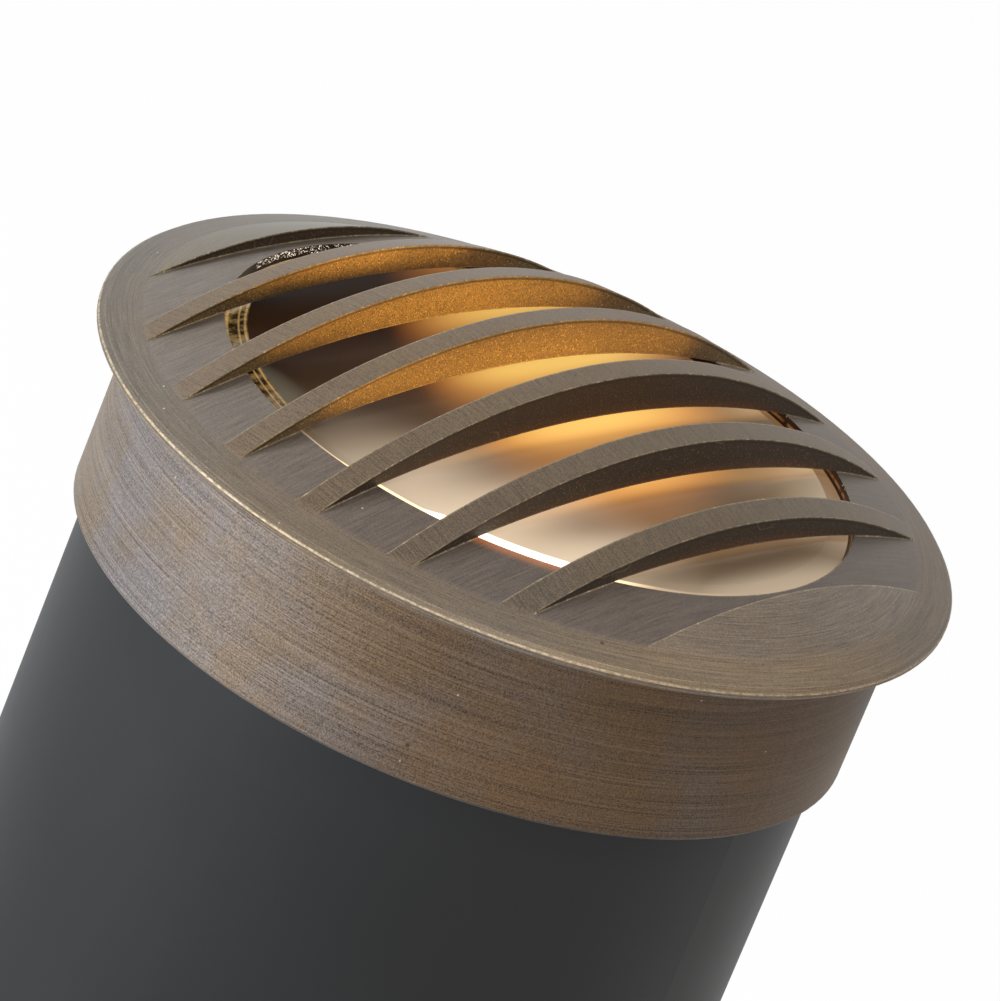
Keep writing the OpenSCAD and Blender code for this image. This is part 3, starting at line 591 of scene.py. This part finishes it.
def cap_brass():
    """Dark antique bronze: turned marks on rim and collar, brushed slot floors, cast fin sides, with light
    and shade painted on the sides, tops, collar, band, wall and rim.
    """
    t = Tree("cap_brass")
    x, y, z, radius = t.place()
    nx, _, nz = t.split(t.normal)
    out_x = t.over(x, radius)
    out_y = t.over(y, radius)
    under_lip = t.minus(Z_LIP, z)
    from_opening = t.minus(radius, OPENING_R)
    from_edge = t.minus(FLANGE_R, radius)

    # Where each finish is: fin sides face along X inside the flange, slot floors lie between fins
    inside = t.under(radius, TIP_R, TIP_BLEND)
    side = t.times(t.ramp(t.size(nx), *SIDEWAYS), inside, t.ramp(under_lip, *SIDE_DEPTH))
    slot_x = t.minus(x, t.times(t.math("ROUND", t.over(x, SLOT_PITCH)), SLOT_PITCH))
    in_slot = t.under(t.size(slot_x), SLOT_W / 2, SLOT_BLEND)
    grille = t.under(t.size(x), GRILLE_REACH, GRILLE_BLEND)
    upward = t.times(t.ramp(nz, *UPWARD), inside)
    floor = t.times(in_slot, upward, grille)
    fin_top = t.times(t.rest(in_slot), upward, grille)
    crescent = t.times(t.rest(grille), upward)
    band = t.times(t.past(radius, TIP_R, BAND_BLEND), t.ramp(nz, *BAND_UPWARD))
    collar = t.ramp(under_lip, *COLLAR_DEPTH)
    bore = t.times(t.ramp(t.size(nz), *BORE_UPWARD), t.ramp(from_opening, *BORE_OUT),
                   t.ramp(z, Z_LIP + BORE_TOP + BORE_FADE, Z_LIP + BORE_TOP))

    def turned(length, spacing, contrast):
        """Marks round the axis. They follow the direction from the axis, so that they have no seam."""
        place = t.join(t.times(out_x, COLLAR_R / length), t.times(out_y, COLLAR_R / length),
                       t.over(t.minus(radius, z), spacing))
        return t.stretch(t.noise(*MARK_NOISE, place), contrast)

    def straight(length_x, length_y, contrast):
        place = t.join(t.over(x, length_x), t.over(y, length_y), t.over(z, MARK_H))
        return t.stretch(t.noise(*MARK_NOISE, place), contrast)

    def grained(scale, contrast):
        return t.stretch(t.noise(scale), contrast)

    def towards(azimuth, low, high):
        """1 on the side at an azimuth, in degrees to the right of the photograph's view."""
        angle = VIEW_AZIMUTH + math.radians(azimuth)
        return t.ramp(t.plus(t.times(out_x, math.sin(angle)), t.times(out_y, -math.cos(angle))), low, high)

    def toned(share, level):
        """The tint so far, with each channel scaled over a share."""
        scaled = t.node("ShaderNodeVectorMath", {0: tint, 1: level}, operation="MULTIPLY").outputs[0]
        return t.mix(share, tint, scaled)

    def layer(name, share, tone=None):
        """The tint so far, with a layer of the patina or of its painted light and shade over a share."""
        return t.mix(t.times(share, COVER[name]), tint, tone or PATINA[name])

    # Brush marks, each stretched along its own direction
    grain = grained(*GRAIN)
    coarse = turned(*COARSE_MARKS)
    marks = t.blend(COARSE_SHARE, t.blend(RIM_GRAIN, turned(*FINE_MARKS), grain), coarse)
    marks = t.blend(collar, marks, t.blend(COLLAR_GRAIN, turned(*THIN_MARKS), grain))
    marks = t.blend(floor, marks, t.blend(FLOOR_GRAIN, straight(*FLOOR_MARKS), grain))
    marks = t.blend(fin_top, marks, t.blend(FIN_GRAIN, straight(*FIN_MARKS), grain))
    marks = t.blend(side, marks, grained(*CAST_GRAIN))

    # Patina: grey over brown
    tint = t.mix(t.clumps(*CLOUDS), PATINA["grey"], PATINA["brown"])
    tint = layer("band", band)
    # Painted light and shade: the slot floors and fin tops are lighter at the far side, towards -x where
    # the light comes from, and darker towards +x
    tint = layer("floor", floor, t.mix(t.ramp(x, *FLOOR_X), PATINA["floor_lit"], PATINA["floor_shaded"]))
    tint = layer("fin_top", fin_top, t.mix(t.ramp(x, *FIN_X), PATINA["fin_top_lit"], PATINA["fin_top_shaded"]))
    tint = layer("crescent", crescent)
    tint = layer("crescent_far", t.times(crescent, t.ramp(x, *CRESCENT_X)))

    # The collar is darker and browner overall, the fin tops darker and greyer at their near ends. Painted
    # light and shade round the collar and band: the collar lit pale and greyer at the front left, shaded at
    # the front and right; the band shaded greyer at the left, shaded at the right, lit paler at the front
    # right
    tint = toned(collar, COLLAR_TONE)
    tint = toned(t.times(fin_top, t.ramp(y, *FIN_END_Y)), FIN_END_TONE)
    for where, tones in ((collar, COLLAR_SIDE_LIGHT), (band, BAND_SIDE_LIGHT)):
        for azimuth, low, high, level in tones:
            tint = toned(t.times(where, towards(azimuth, low, high)), level)

    # Rubbed marks, most of them near the top of the collar
    hem = t.times(t.ramp(under_lip, *HEM_DEPTH), collar)
    tint = t.mix(t.times(t.ramp(coarse, *RUBBED), t.blend(hem, *RUBBED_COVER)), tint, PATINA["rubbed"])

    # Painted light and shade on the fins' sides: lit amber where they face the lamp in the middle, shaded
    # dark where they face outwards and on the far wall, with painted glints, most on the lit sides
    outward = t.past(t.times(nx, x), 0, MIDDLE_BLEND)
    far_wall = t.past(t.size(x), GRILLE_REACH - FAR_WALL, GRILLE_BLEND)
    outward_shade = t.most(outward, t.times(far_wall, FAR_WALL_SHADE))
    tint = layer("side", side, t.mix(outward_shade, PATINA["side_lit"], PATINA["side_shaded"]))
    contrast = t.blend(floor, OTHER_CONTRAST, FLOOR_CONTRAST)
    contrast = t.blend(fin_top, contrast, FIN_CONTRAST)
    contrast = t.blend(collar, contrast, COLLAR_CONTRAST)
    tint = t.shade(tint, marks, t.blend(side, contrast, SIDE_CONTRAST))
    glint = t.times(t.clumps(*GLINTS), side)
    tint = t.mix(t.times(glint, t.blend(outward_shade, *GLINT_COVER)), tint, PATINA["glint"])

    # A dark line on the fins' sides, just under their tops
    depth = t.minus(DOME_RHO, t.distance(Z_LIP + DOME_RISE - DOME_RHO))
    tint = layer("seam", t.times(t.ramp(depth, *SEAM_DEPTH), t.ramp(depth, *SEAM_END), side))

    # Painted shade on the opening's wall, darkest at the left, with a painted highlight line in its far
    # right quarter
    wall_highlight = t.times(t.ramp(t.size(t.minus(z, Z_LIP + WALL_HIGHLIGHT_RISE)), *WALL_HIGHLIGHT_W),
                     t.ramp(x, *WALL_HIGHLIGHT_START), t.ramp(y, *WALL_HIGHLIGHT_START), t.clumps(*WALL_HIGHLIGHT_GAPS))
    wall = t.mix(t.past(x, 0, WALL_BLEND), PATINA["bore_shade_left"], PATINA["bore_shade_right"])
    tint = t.mix(bore, tint, t.mix(wall_highlight, wall, PATINA["wall_highlight"]))

    # Specks of bare metal and fine curved scratches
    tint = layer("speck", t.dots(*SPECKS))
    curl = t.ramp(t.size(t.minus(t.noise(*SCRATCH_CURLS), 0.5)), *SCRATCH_W)
    tint = layer("scratch", t.times(curl, t.clumps(*SCRATCHED), side))

    # Worn edges with chips, the rim's cream line, which is worn brass and a painted highlight strongest at
    # the front left, and a few pits
    rounded, edge = t.edges(EDGE_R)
    lip = t.ramp(from_edge, *LIP_IN)
    worn = t.times(edge, t.blend(CHIP_FILL, t.clumps(*CHIPS), 1.0), t.rest(bore))
    bare = t.mix(lip, PATINA["worn"], PATINA["worn_lip"])
    tint = t.mix(t.times(worn, t.blend(lip, *WORN_COVER)), tint, bare)
    tint = layer("sparkle", t.times(t.clumps(*SPARKLES), worn))
    rim = t.times(t.ramp(from_edge, *RIM_IN), t.ramp(under_lip, *RIM_DEPTH),
                  t.blend(t.clumps(*RIM_GAPS), RIM_FILL, 1.0), t.blend(towards(*RIM_HIGHLIGHT_SIDE), *RIM_COVER))
    tint = t.mix(rim, tint, PATINA["rim"])
    pit = t.dots(*PITS)
    tint = layer("pit", pit)

    # Painted light from the lens's bright arc spills over the opening's edge, and a little lies at the foot
    # of the shaded sides
    facing = t.plus(t.times(out_x, ARC_X), t.times(out_y, ARC_Y))
    spill = t.times(t.ramp(facing, *SPILL_FACING), t.ramp(from_opening, *SPILL_OUT), floor)
    over_plate = t.minus(t.distance(Z_LIP + PLATE_RISE - PLATE_RHO), PLATE_RHO)
    foot = t.times(t.ramp(over_plate, *FOOT_RISE), t.ramp(radius, *FOOT_R), side, outward_shade)

    height = t.minus(marks, t.times(pit, PIT_DEPTH))
    rough = t.plus(t.blend(side, BRASS_ROUGH, SIDE_ROUGH), t.times(t.minus(marks, 0.5), MARKS_ROUGH))
    t.principled(Base_Color=tint, Metallic=BRASS_METAL, Roughness=rough,
                 Sheen_Weight=BRASS_SHEEN, Sheen_Roughness=SHEEN_ROUGH,
                 Normal=t.bump(height, *BUMP["brass"], rounded), Emission_Color=PATINA["spill"],
                 Emission_Strength=t.most(t.times(spill, SPILL_LEVEL), t.times(foot, FOOT_LEVEL)))
    return t.material


def frosted_glass():
    """Etched glass over the lamp, with the lamp's light painted into its glow: amber where the lamp shines
    through, cream near the rim that the lamp leans towards, dark where it doesn't reach, and a clear bevel
    with painted bright lines in it."""
    t = Tree("frosted_glass")
    x, y, _, radius = t.place()
    bevel = t.past(radius, BEVEL_R, BEVEL_BLEND)
    clear = t.times(bevel, t.ramp(x, *CLEAR_X))
    flat = t.rest(clear)

    def patch(centre_x, centre_y, reach_x, reach_y, slant):
        """1 in the middle of an ellipse, falling to 0 at its edge."""
        along = t.plus(t.minus(y, centre_y), t.times(x, slant))
        far = t.plus(t.math("POWER", t.over(t.minus(x, centre_x), reach_x), 2.0),
                     t.math("POWER", t.over(along, reach_y), 2.0))
        return t.ramp(far, 1.0, 0.0)

    def towards(direction_x, direction_y):
        """How closely the point lies in a direction from the axis, up to 1."""
        return t.over(t.plus(t.times(x, direction_x), t.times(y, direction_y)), radius)

    amber = patch(*AMBER_PATCH)
    grey_glow = patch(*GREY_GLOW_PATCH)
    far_rim = t.times(t.ramp(towards(FAR_X, FAR_Y), *FAR_FACING), t.ramp(radius, *FAR_RIM_R), FAR_RIM)
    right_rim = t.times(t.ramp(x, *RIGHT_RIM_X), RIGHT_RIM)
    cream = t.most(patch(*CREAM_PATCH), right_rim, far_rim)

    # The fins shade the glass under them, least at the far right
    phase = t.times(t.minus(t.over(x, SLOT_PITCH), SHADE_PHASE), math.tau)
    open_sky = t.plus(0.5, t.times(t.math("COSINE", phase), 0.5))
    near_fade = t.ramp(y, *NEAR_Y)
    far_pale = t.times(t.ramp(y, *PALE_Y), t.ramp(x, *PALE_X))
    shaded = t.times(t.rest(open_sky), near_fade, t.blend(far_pale, 1.0, SHADE_FAR_RIGHT))
    lit = t.times(t.rest(t.times(shaded, SHADE_ON_LIGHT)), flat)
    amber = t.times(amber, lit)
    cream = t.times(cream, lit)

    # A golden band of painted reflection of the lit fin sides, where each fin's foot meets the glass on the
    # side that the lamp leans towards
    step = t.plus(t.times(t.ramp(radius, *GOLD_BEND_R), GOLD_BEND), GOLD_PHASE)
    gold = t.math("COSINE", t.times(t.minus(t.over(x, SLOT_PITCH), step), math.tau))
    gold = t.times(t.ramp(gold, *GOLD_WAVE), t.ramp(x, *GOLD_START_X), t.ramp(x, *GOLD_END_X),
                   near_fade, flat)

    warm = t.mix(amber, GLASS["amber_edge"], GLASS["amber_heart"])
    light = t.mix(t.times(amber, LENS_AMBER), BLACK, warm)
    light = t.add_light(light, t.times(cream, LENS_CREAM), GLASS["cream"])
    light = t.add_light(light, t.times(gold, LENS_GOLD), GLASS["gold"])
    light = t.add_light(light, t.times(t.ramp(x, *DEEP_X), flat, LENS_DEEP), GLASS["deep"])
    light = t.add_light(light, t.times(grey_glow, flat), GLASS["grey_glow"])

    # The bevel catches the light in one short arc with thin ends, and in lines at its far left
    facing = towards(ARC_X, ARC_Y)
    start = t.blend(t.ramp(facing, *ARC_THIN), ARC_END_R, ARC_THIN_R)
    start = t.blend(t.ramp(facing, *ARC_FULL), start, BEVEL_R)
    arc = t.times(t.ramp(facing, *ARC_FACING), bevel, t.ramp(t.minus(radius, start), *ARC_BLEND),
                  t.blend(t.ramp(x, *ARC_FADE_X), 1.0, ARC_FADE))
    lines = 0.0
    for line_r, half_w in BEVEL_LINES:
        line = t.ramp(t.size(t.minus(radius, line_r)), half_w, half_w * LINE_HEART)
        lines = t.most(line, lines)
    mottle = t.clumps(*MOTTLE)
    lines = t.most(t.times(lines, t.blend(mottle, LINE_FILL, 1.0)), t.times(mottle, MOTTLE_LEVEL))
    lines = t.times(lines, clear)
    light = t.add_light(light, t.times(lines, LINE_LEVEL), GLASS["bevel_line"])
    light = t.mix(arc, light, t.mix(t.ramp(facing, *ARC_WHITE), GLASS["arc_end"], GLASS["arc"]))

    # The glass's tint, darker at the left and with painted shade under the fins, and how much light it lets
    # through
    tint = t.mix(t.ramp(x, *BASE_X), GLASS["dark"], GLASS["pale"])
    tint = t.mix(t.times(shaded, SHADE_ON_TINT), tint,
                 t.mix(t.ramp(x, *SHADE_X), GLASS["shade_left"], GLASS["shade_right"]))
    tint = t.mix(clear, tint, GLASS["bevel"])
    far_bevel = t.times(bevel, flat, t.ramp(y, *FAR_BEVEL_Y), t.ramp(x, *FAR_BEVEL_X))
    light = t.mix(t.times(far_bevel, FAR_BEVEL_LIGHT), light, GLASS["far_light"])
    tint = t.mix(t.times(far_bevel, FAR_BEVEL_TINT), tint, GLASS["far_bevel"])
    through = t.blend(t.ramp(x, *THROUGH_X), THROUGH_LEFT, THROUGH_RIGHT)
    t.principled(Base_Color=tint, Roughness=t.blend(clear, FROSTED_ROUGH, CLEAR_ROUGH), IOR=GLASS_IOR,
                 Transmission_Weight=t.blend(clear, through, THROUGH_CLEAR),
                 Specular_IOR_Level=GLASS_GLOSS, Specular_Tint=GLASS["shine"], Emission_Color=light,
                 Emission_Strength=t.blend(arc, 1.0, ARC_LEVEL),
                 Normal=t.bump(t.noise(GLASS_GRAIN), *BUMP["glass"]))
    return t.material


def moulded(name, tone, rough, grain=2200.0, depth=0.01, clouds=0.15, rounding=0.25):
    """Moulded plastic or rubber: fine grain, faint clouds of gloss, slightly rounded edges."""
    t = Tree(name)
    cloud = t.noise(*GLOSS_NOISE)
    rounded, edge = t.edges(rounding * MM)
    lighter = (*[min(1.0, c * PALER + PALER_BY) for c in tone[:3]], 1.0)
    tint = t.mix(t.times(t.ramp(cloud, *GLOSS_CLOUDS), clouds), tone, lighter)
    tint = t.mix(t.times(edge, MOULDED_EDGE), tint, lighter)
    shine = t.plus(rough, t.times(t.minus(cloud, 0.5), GLOSS_SWING))
    t.principled(Base_Color=tint, Roughness=shine,
                 Normal=t.bump(t.noise(grain), depth * MM, MOULDED_BUMP, rounded))
    return t.material


def steel(name, tone, rough=0.3):
    """Brushed or turned metal with bright edges."""
    t = Tree(name)
    x, y, z, radius = t.place()
    place = t.join(t.times(t.math("ARCTAN2", y, x), BRUSH_ROUND), t.times(radius, BRUSH_LINES),
                   t.times(z, BRUSH_LINES))
    brush = t.noise(*BRUSH_NOISE, place)
    rounded, edge = t.edges(STEEL_EDGE_R)
    darker = (*[c * STEEL_DARK for c in tone[:3]], 1.0)
    marks = t.plus(brush, t.times(t.noise(*STEEL_NOISE), STEEL_CLOUD))
    tint = t.mix(t.ramp(marks, *STEEL_MARKS), darker, tone)
    tint = t.mix(t.times(edge, STEEL_EDGE), tint, TONES["steel_edge"])
    shine = t.plus(rough, t.times(t.minus(brush, 0.5), STEEL_SWING))
    t.principled(Base_Color=tint, Metallic=1.0, Roughness=shine,
                 Normal=t.bump(brush, *BUMP["steel"], rounded))
    return t.material


def clear_optic():
    """The lamp's moulded front lens: pale, glossy, with rows of small bubbles of light."""
    t = Tree("optic_glass")
    facets = t.spots(FACETS, FACET_SPREAD)["Distance"]
    glow = t.ramp(facets, *FACET_GLOW)
    tint = t.mix(glow, TONES["optic_dark"], TONES["optic_pale"])
    t.principled(Base_Color=tint, Roughness=0.08, IOR=OPTIC_IOR, Emission_Color=TONES["optic_glow"],
                 Emission_Strength=t.times(glow, FACET_LEVEL),
                 Normal=t.bump(t.times(facets, -1.0), *BUMP["optic"]))
    return t.material


def phosphor():
    """The lit emitter: a grid of small yellow dies under a smooth dome."""
    t = Tree("chip_yellow")
    dies = t.spots(DIES, 0.0)["Distance"]
    tint = t.mix(t.ramp(dies, *DIE_EDGE), TONES["die"], TONES["die_gap"])
    t.principled(Base_Color=tint, Roughness=0.25, Emission_Color=TONES["chip_glow"],
                 Emission_Strength=CHIP_LEVEL)
    return t.material


def pale_board():
    """White solder mask with faint copper tracks."""
    t = Tree("board_white")
    x, y, _ = t.split(t.point)
    track = t.math("SINE", t.times(t.plus(t.size(x), t.size(y)), TRACKS))
    tint = t.mix(t.times(t.ramp(track, *TRACK_EDGE), TRACK_SHARE), TONES["board"], TONES["track"])
    t.principled(Base_Color=tint, Roughness=0.4, Normal=t.bump(t.noise(BOARD_GRAIN), *BUMP["board"]))
    return t.material


def ceramic():
    """Unglazed steatite, cream with fine dark specks."""
    t = Tree("ceramic")
    speck = t.noise(*CERAMIC_SPECKS)
    rounded, _ = t.edges(CERAMIC_EDGE_R)
    tint = t.mix(t.noise(*CERAMIC_NOISE), TONES["ceramic_dark"], TONES["ceramic_pale"])
    dark = t.times(t.ramp(speck, *CERAMIC_SPECK), CERAMIC_SPECK_SHARE)
    tint = t.mix(dark, tint, TONES["ceramic_speck"])
    t.principled(Base_Color=tint, Roughness=0.5, Normal=t.bump(speck, *BUMP["ceramic"], rounded))
    return t.material


FINISHES = {
    "cap_brass": cap_brass,
    "frosted_glass": frosted_glass,
    "seal_rubber": lambda: moulded("seal_rubber", TONES["rubber"], 0.62, 1800.0, 0.02),
    "stainless": lambda: steel("stainless", TONES["stainless"]),
    "sleeve_plastic": lambda: moulded("sleeve_plastic", TONES["sleeve"], 0.4, 1500.0, 0.008, 0.1, 0.4),
    "carrier_plastic": lambda: moulded("carrier_plastic", TONES["carrier"], 0.5, 1600.0, 0.015),
    "washer_plastic": lambda: moulded("washer_plastic", TONES["washer"], 0.42),
    "lamp_aluminium": lambda: steel("lamp_aluminium", TONES["aluminium"], 0.38),
    "optic_glass": clear_optic,
    "board_white": pale_board,
    "chip_yellow": phosphor,
    "ceramic": ceramic,
    "lead_silicone": lambda: moulded("lead_silicone", TONES["silicone"], 0.45),
    "connector_plastic": lambda: moulded("connector_plastic", TONES["connector"], 0.28),
    "gland_plastic": lambda: moulded("gland_plastic", TONES["gland"], 0.42),
}


def dress_nodes():
    """Gives every solid its slot's finish."""
    made = {}
    for subpart in frame["record"]["subparts"]:
        slot = subpart["material_slot"]
        if slot not in made:
            made[slot] = FINISHES[slot]()
        mesh = NODES[subpart["node"]].data
        mesh.materials.clear()
        mesh.materials.append(made[slot])


def bare_brass():
    """Brass where a cutter has just torn it, bright and uneven, with painted glints that glow in its
    brightest places.
    """
    t = Tree("bare_brass")
    cloud = t.noise(TORN_GRAIN)
    tint = t.mix(t.ramp(cloud, *TORN_BRIGHT), TONES["torn_dark"], TONES["torn_bright"])
    t.principled(Base_Color=tint, Metallic=0.2, Roughness=t.plus(0.25, t.times(cloud, 0.2)),
                 Normal=t.bump(cloud, *BUMP["torn"]), Emission_Color=TONES["torn_glint_glow"],
                 Emission_Strength=t.times(t.ramp(cloud, *TORN_GLINT_SPOTS), BURR_GLINT_LEVEL))
    return t.material


def add_piece(name, mesh, body, material):
    """Puts a bmesh in the scene as a piece that rides on a body."""
    data = bpy.data.meshes.new(name)
    mesh.to_mesh(data)
    mesh.free()
    piece = bpy.data.objects.new(name, data)
    bpy.context.scene.collection.objects.link(piece)
    data.materials.append(material)
    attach(piece, body)


def plate_height(radius):
    """The height of the slot floors' dome at a radius."""
    return Z_LIP + PLATE_RISE - (PLATE_RHO - math.sqrt(PLATE_RHO ** 2 - radius ** 2))


def burrs():
    """Bright flakes left along the opening's edge in the slots, closest together at its far left."""
    chance = random.Random(BURR_SEED)
    mesh = bmesh.new()
    edge_z = plate_height(OPENING_R)
    made = 0
    while made < BURR_COUNT:
        crowded = made < BURR_COUNT * BURR_CROWDED
        angle = math.radians(chance.uniform(*BURR_FAR) if crowded else chance.uniform(0, 360))
        size = chance.uniform(*BURR_SIZE)
        out = Vector((math.cos(angle), math.sin(angle), 0))
        along = Vector((-out.y, out.x, 0))
        drop = BURR_DROP * chance.random() ** BURR_DROP_POWER if crowded else size * BURR_HANG
        root = out * (OPENING_R + size * BURR_OUT) + Vector((0, 0, edge_z - drop))
        in_slot = abs(root.x - round(root.x / SLOT_PITCH) * SLOT_PITCH)
        if in_slot > SLOT_W / 2 - size:
            continue
        tip = root - out * size * chance.uniform(*BURR_LEAN)
        tip += Vector((0, 0, size * chance.uniform(*BURR_RISE)))
        corners = [root - along * size * chance.uniform(*BURR_SIDE),
                   root + along * size * chance.uniform(*BURR_SIDE),
                   root + Vector((0, 0, -size * BURR_FOOT)) - out * size * BURR_FOOT_IN,
                   tip + along * size * chance.uniform(*BURR_TIP)]
        vertices = [mesh.verts.new(corner) for corner in corners]
        for face in ((0, 1, 2), (0, 3, 1), (1, 3, 2), (2, 3, 0)):
            mesh.faces.new([vertices[i] for i in face])
        made += 1
    bmesh.ops.recalc_face_normals(mesh, faces=mesh.faces)
    add_piece("burrs", mesh, "cap", bare_brass())


def screw_crosses():
    """Dark crosses laid just proud of the heads of the lens ring's three screws, which face down: painted
    shade that stands in for their cross sockets.
    """
    t = Tree("socket_shadow")
    tint = t.mix(t.noise(SOCKET_GRAIN), TONES["socket_shade_dark"], TONES["socket_shade_pale"])
    t.principled(Base_Color=tint, Metallic=0.6, Roughness=0.5)
    mesh = bmesh.new()
    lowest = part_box("lens_screws")[0]
    ring_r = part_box("lens_screws")[1].y - SCREW_HEAD_R
    for index in range(SCREW_COUNT):
        angle = math.tau * index / SCREW_COUNT
        centre = Vector((-math.sin(angle) * ring_r, math.cos(angle) * ring_r, lowest.z))
        for turn in (0, math.pi / 2):
            bar = bmesh.ops.create_cube(mesh, size=1)["verts"]
            bmesh.ops.scale(mesh, vec=(CROSS_L, CROSS_W, CROSS_PROUD * 2), verts=bar)
            bmesh.ops.rotate(mesh, matrix=Matrix.Rotation(angle + turn, 3, "Z"), verts=bar)
            bmesh.ops.translate(mesh, vec=centre, verts=bar)
    add_piece("screw_crosses", mesh, "cap", t.material)


def place_camera():
    """The photograph's view: solved angle, roll and distance, looking past the lip's centre."""
    tilt = math.pi / 2 - VIEW_ELEVATION
    back = Vector((0, -math.sin(tilt), math.cos(tilt)))
    right = Vector((1, 0, 0))
    up = back.cross(right)
    side = math.cos(VIEW_ROLL) * right + math.sin(VIEW_ROLL) * up
    top = -math.sin(VIEW_ROLL) * right + math.cos(VIEW_ROLL) * up
    shift_x = LIP_SHIFT_X_PX / FOCAL_PX * VIEW_DISTANCE
    shift_y = LIP_SHIFT_Y_PX / FOCAL_PX * VIEW_DISTANCE
    place = back * VIEW_DISTANCE - side * shift_x - top * shift_y
    axes = Matrix((side, top, back)).transposed().to_4x4()
    turn = Matrix.Rotation(VIEW_AZIMUTH, 4, "Z")
    camera = bpy.data.objects.new("camera", bpy.data.cameras.new("camera"))
    bpy.context.scene.collection.objects.link(camera)
    camera.matrix_world = Matrix.Translation((0, 0, Z_LIP)) @ turn @ Matrix.Translation(place) @ axes
    camera.data.sensor_fit = "AUTO"
    camera.data.sensor_width = SENSOR
    camera.data.lens = FOCAL_PX * SENSOR / max(PHOTO_W, PHOTO_H)
    camera.data.clip_start = 0.01
    bpy.context.scene.camera = camera


def lamp(name, place, target, width, height, power, tint):
    """A rectangle of light that faces a target."""
    data = bpy.data.lights.new(name, "AREA")
    data.shape = "RECTANGLE"
    data.size = width
    data.size_y = height
    data.energy = power
    data.color = tint
    made = bpy.data.objects.new(name, data)
    bpy.context.scene.collection.objects.link(made)
    made.location = place
    made.rotation_euler = (Vector(target) - Vector(place)).to_track_quat("-Z", "Y").to_euler()
    return made


def around(azimuth, elevation, distance):
    """A place seen from the lip's centre: azimuth in degrees to the viewer's right of the view."""
    a = VIEW_AZIMUTH + math.radians(azimuth)
    e = math.radians(elevation)
    return (math.sin(a) * math.cos(e) * distance, -math.cos(a) * math.cos(e) * distance,
            Z_LIP + math.sin(e) * distance)


def either(tree, first, second):
    """The larger of two values."""
    made = tree.nodes.new("ShaderNodeMath")
    made.operation = "MAXIMUM"
    tree.links.new(first, made.inputs[0])
    tree.links.new(second, made.inputs[1])
    return made.outputs[0]


def rays(tree):
    """1 for rays from the camera, and 1 for those that mirrors or glass send on."""
    path = tree.nodes.new("ShaderNodeLightPath").outputs
    return path["Is Camera Ray"], either(tree, path["Is Glossy Ray"], path["Is Transmission Ray"])


def studio():
    """Plain white floor and world, with soft boxes at the back left, front left, right and top."""
    scene = bpy.context.scene
    scene.view_settings.view_transform = "Standard"
    world = bpy.data.worlds.new("studio")
    scene.world = world
    world.use_nodes = True
    tree = world.node_tree
    background = tree.nodes["Background"]
    background.inputs["Color"].default_value = (1, 1, 1, 1)
    level = tree.nodes.new("ShaderNodeMix")
    level.data_type = "FLOAT"
    tree.links.new(either(tree, *rays(tree)), level.inputs["Factor"])
    level.inputs[2].default_value = WORLD_FILL
    level.inputs[3].default_value = WORLD_SEEN
    tree.links.new(level.outputs[0], background.inputs["Strength"])

    mesh = bpy.data.meshes.new("floor")
    corners = [(-FLOOR_HALF, -FLOOR_HALF, 0), (FLOOR_HALF, -FLOOR_HALF, 0),
               (FLOOR_HALF, FLOOR_HALF, 0), (-FLOOR_HALF, FLOOR_HALF, 0)]
    mesh.from_pydata(corners, [], [(0, 1, 2, 3)])
    floor = bpy.data.objects.new("floor", mesh)
    scene.collection.objects.link(floor)
    t = Tree("floor_white")
    paper = t.mix(t.noise(*PAPER_NOISE), TONES["paper_dark"], TONES["paper_pale"])
    card = t.node("ShaderNodeBsdfDiffuse", {"Color": paper})
    white = t.node("ShaderNodeEmission", {"Color": (1, 1, 1, 1), "Strength": FLOOR_GLOW})
    camera_ray, sent_ray = rays(t.material.node_tree)
    share = t.plus(t.times(camera_ray, FLOOR_SEEN), t.times(sent_ray, FLOOR_SENT), clamp=True)
    mixed = t.node("ShaderNodeMixShader", {"Fac": share})
    t.links.new(card.outputs[0], mixed.inputs[1])
    t.links.new(white.outputs[0], mixed.inputs[2])
    t.links.new(mixed.outputs[0], t.output.inputs["Surface"])
    floor.data.materials.append(t.material)

    for name, (azimuth, elevation, distance, width, power, tint) in BOXES.items():
        lamp(name, around(azimuth, elevation, distance), (0, 0, Z_LIP), width, BOX_H, power, tint)


def glow():
    """The lamp's light as it leaves each slot of the lens, up and outwards onto the fins' sides."""
    z = Z_LENS_TOP + GLOW_RISE
    for number, (slot, side, low, high, spread, power) in enumerate(GLOWS):
        x = slot * SLOT_PITCH - side * (SLOT_W / 2 - GLOW_W)
        length = (high - low) * MM
        light = lamp(f"glow_{number}", (x, (low + high) / 2 * MM, z), (x, 0, z), GLOW_W, length,
                     power * length, AMBER)
        light.rotation_euler = (0, math.pi + side * GLOW_LEAN, 0)
        light.data.spread = math.radians(spread)
        light.visible_glossy = False
        light.parent = frame["bodies"]["cap"]


place_camera()
dress_nodes()
burrs()
screw_crosses()
studio()
glow()
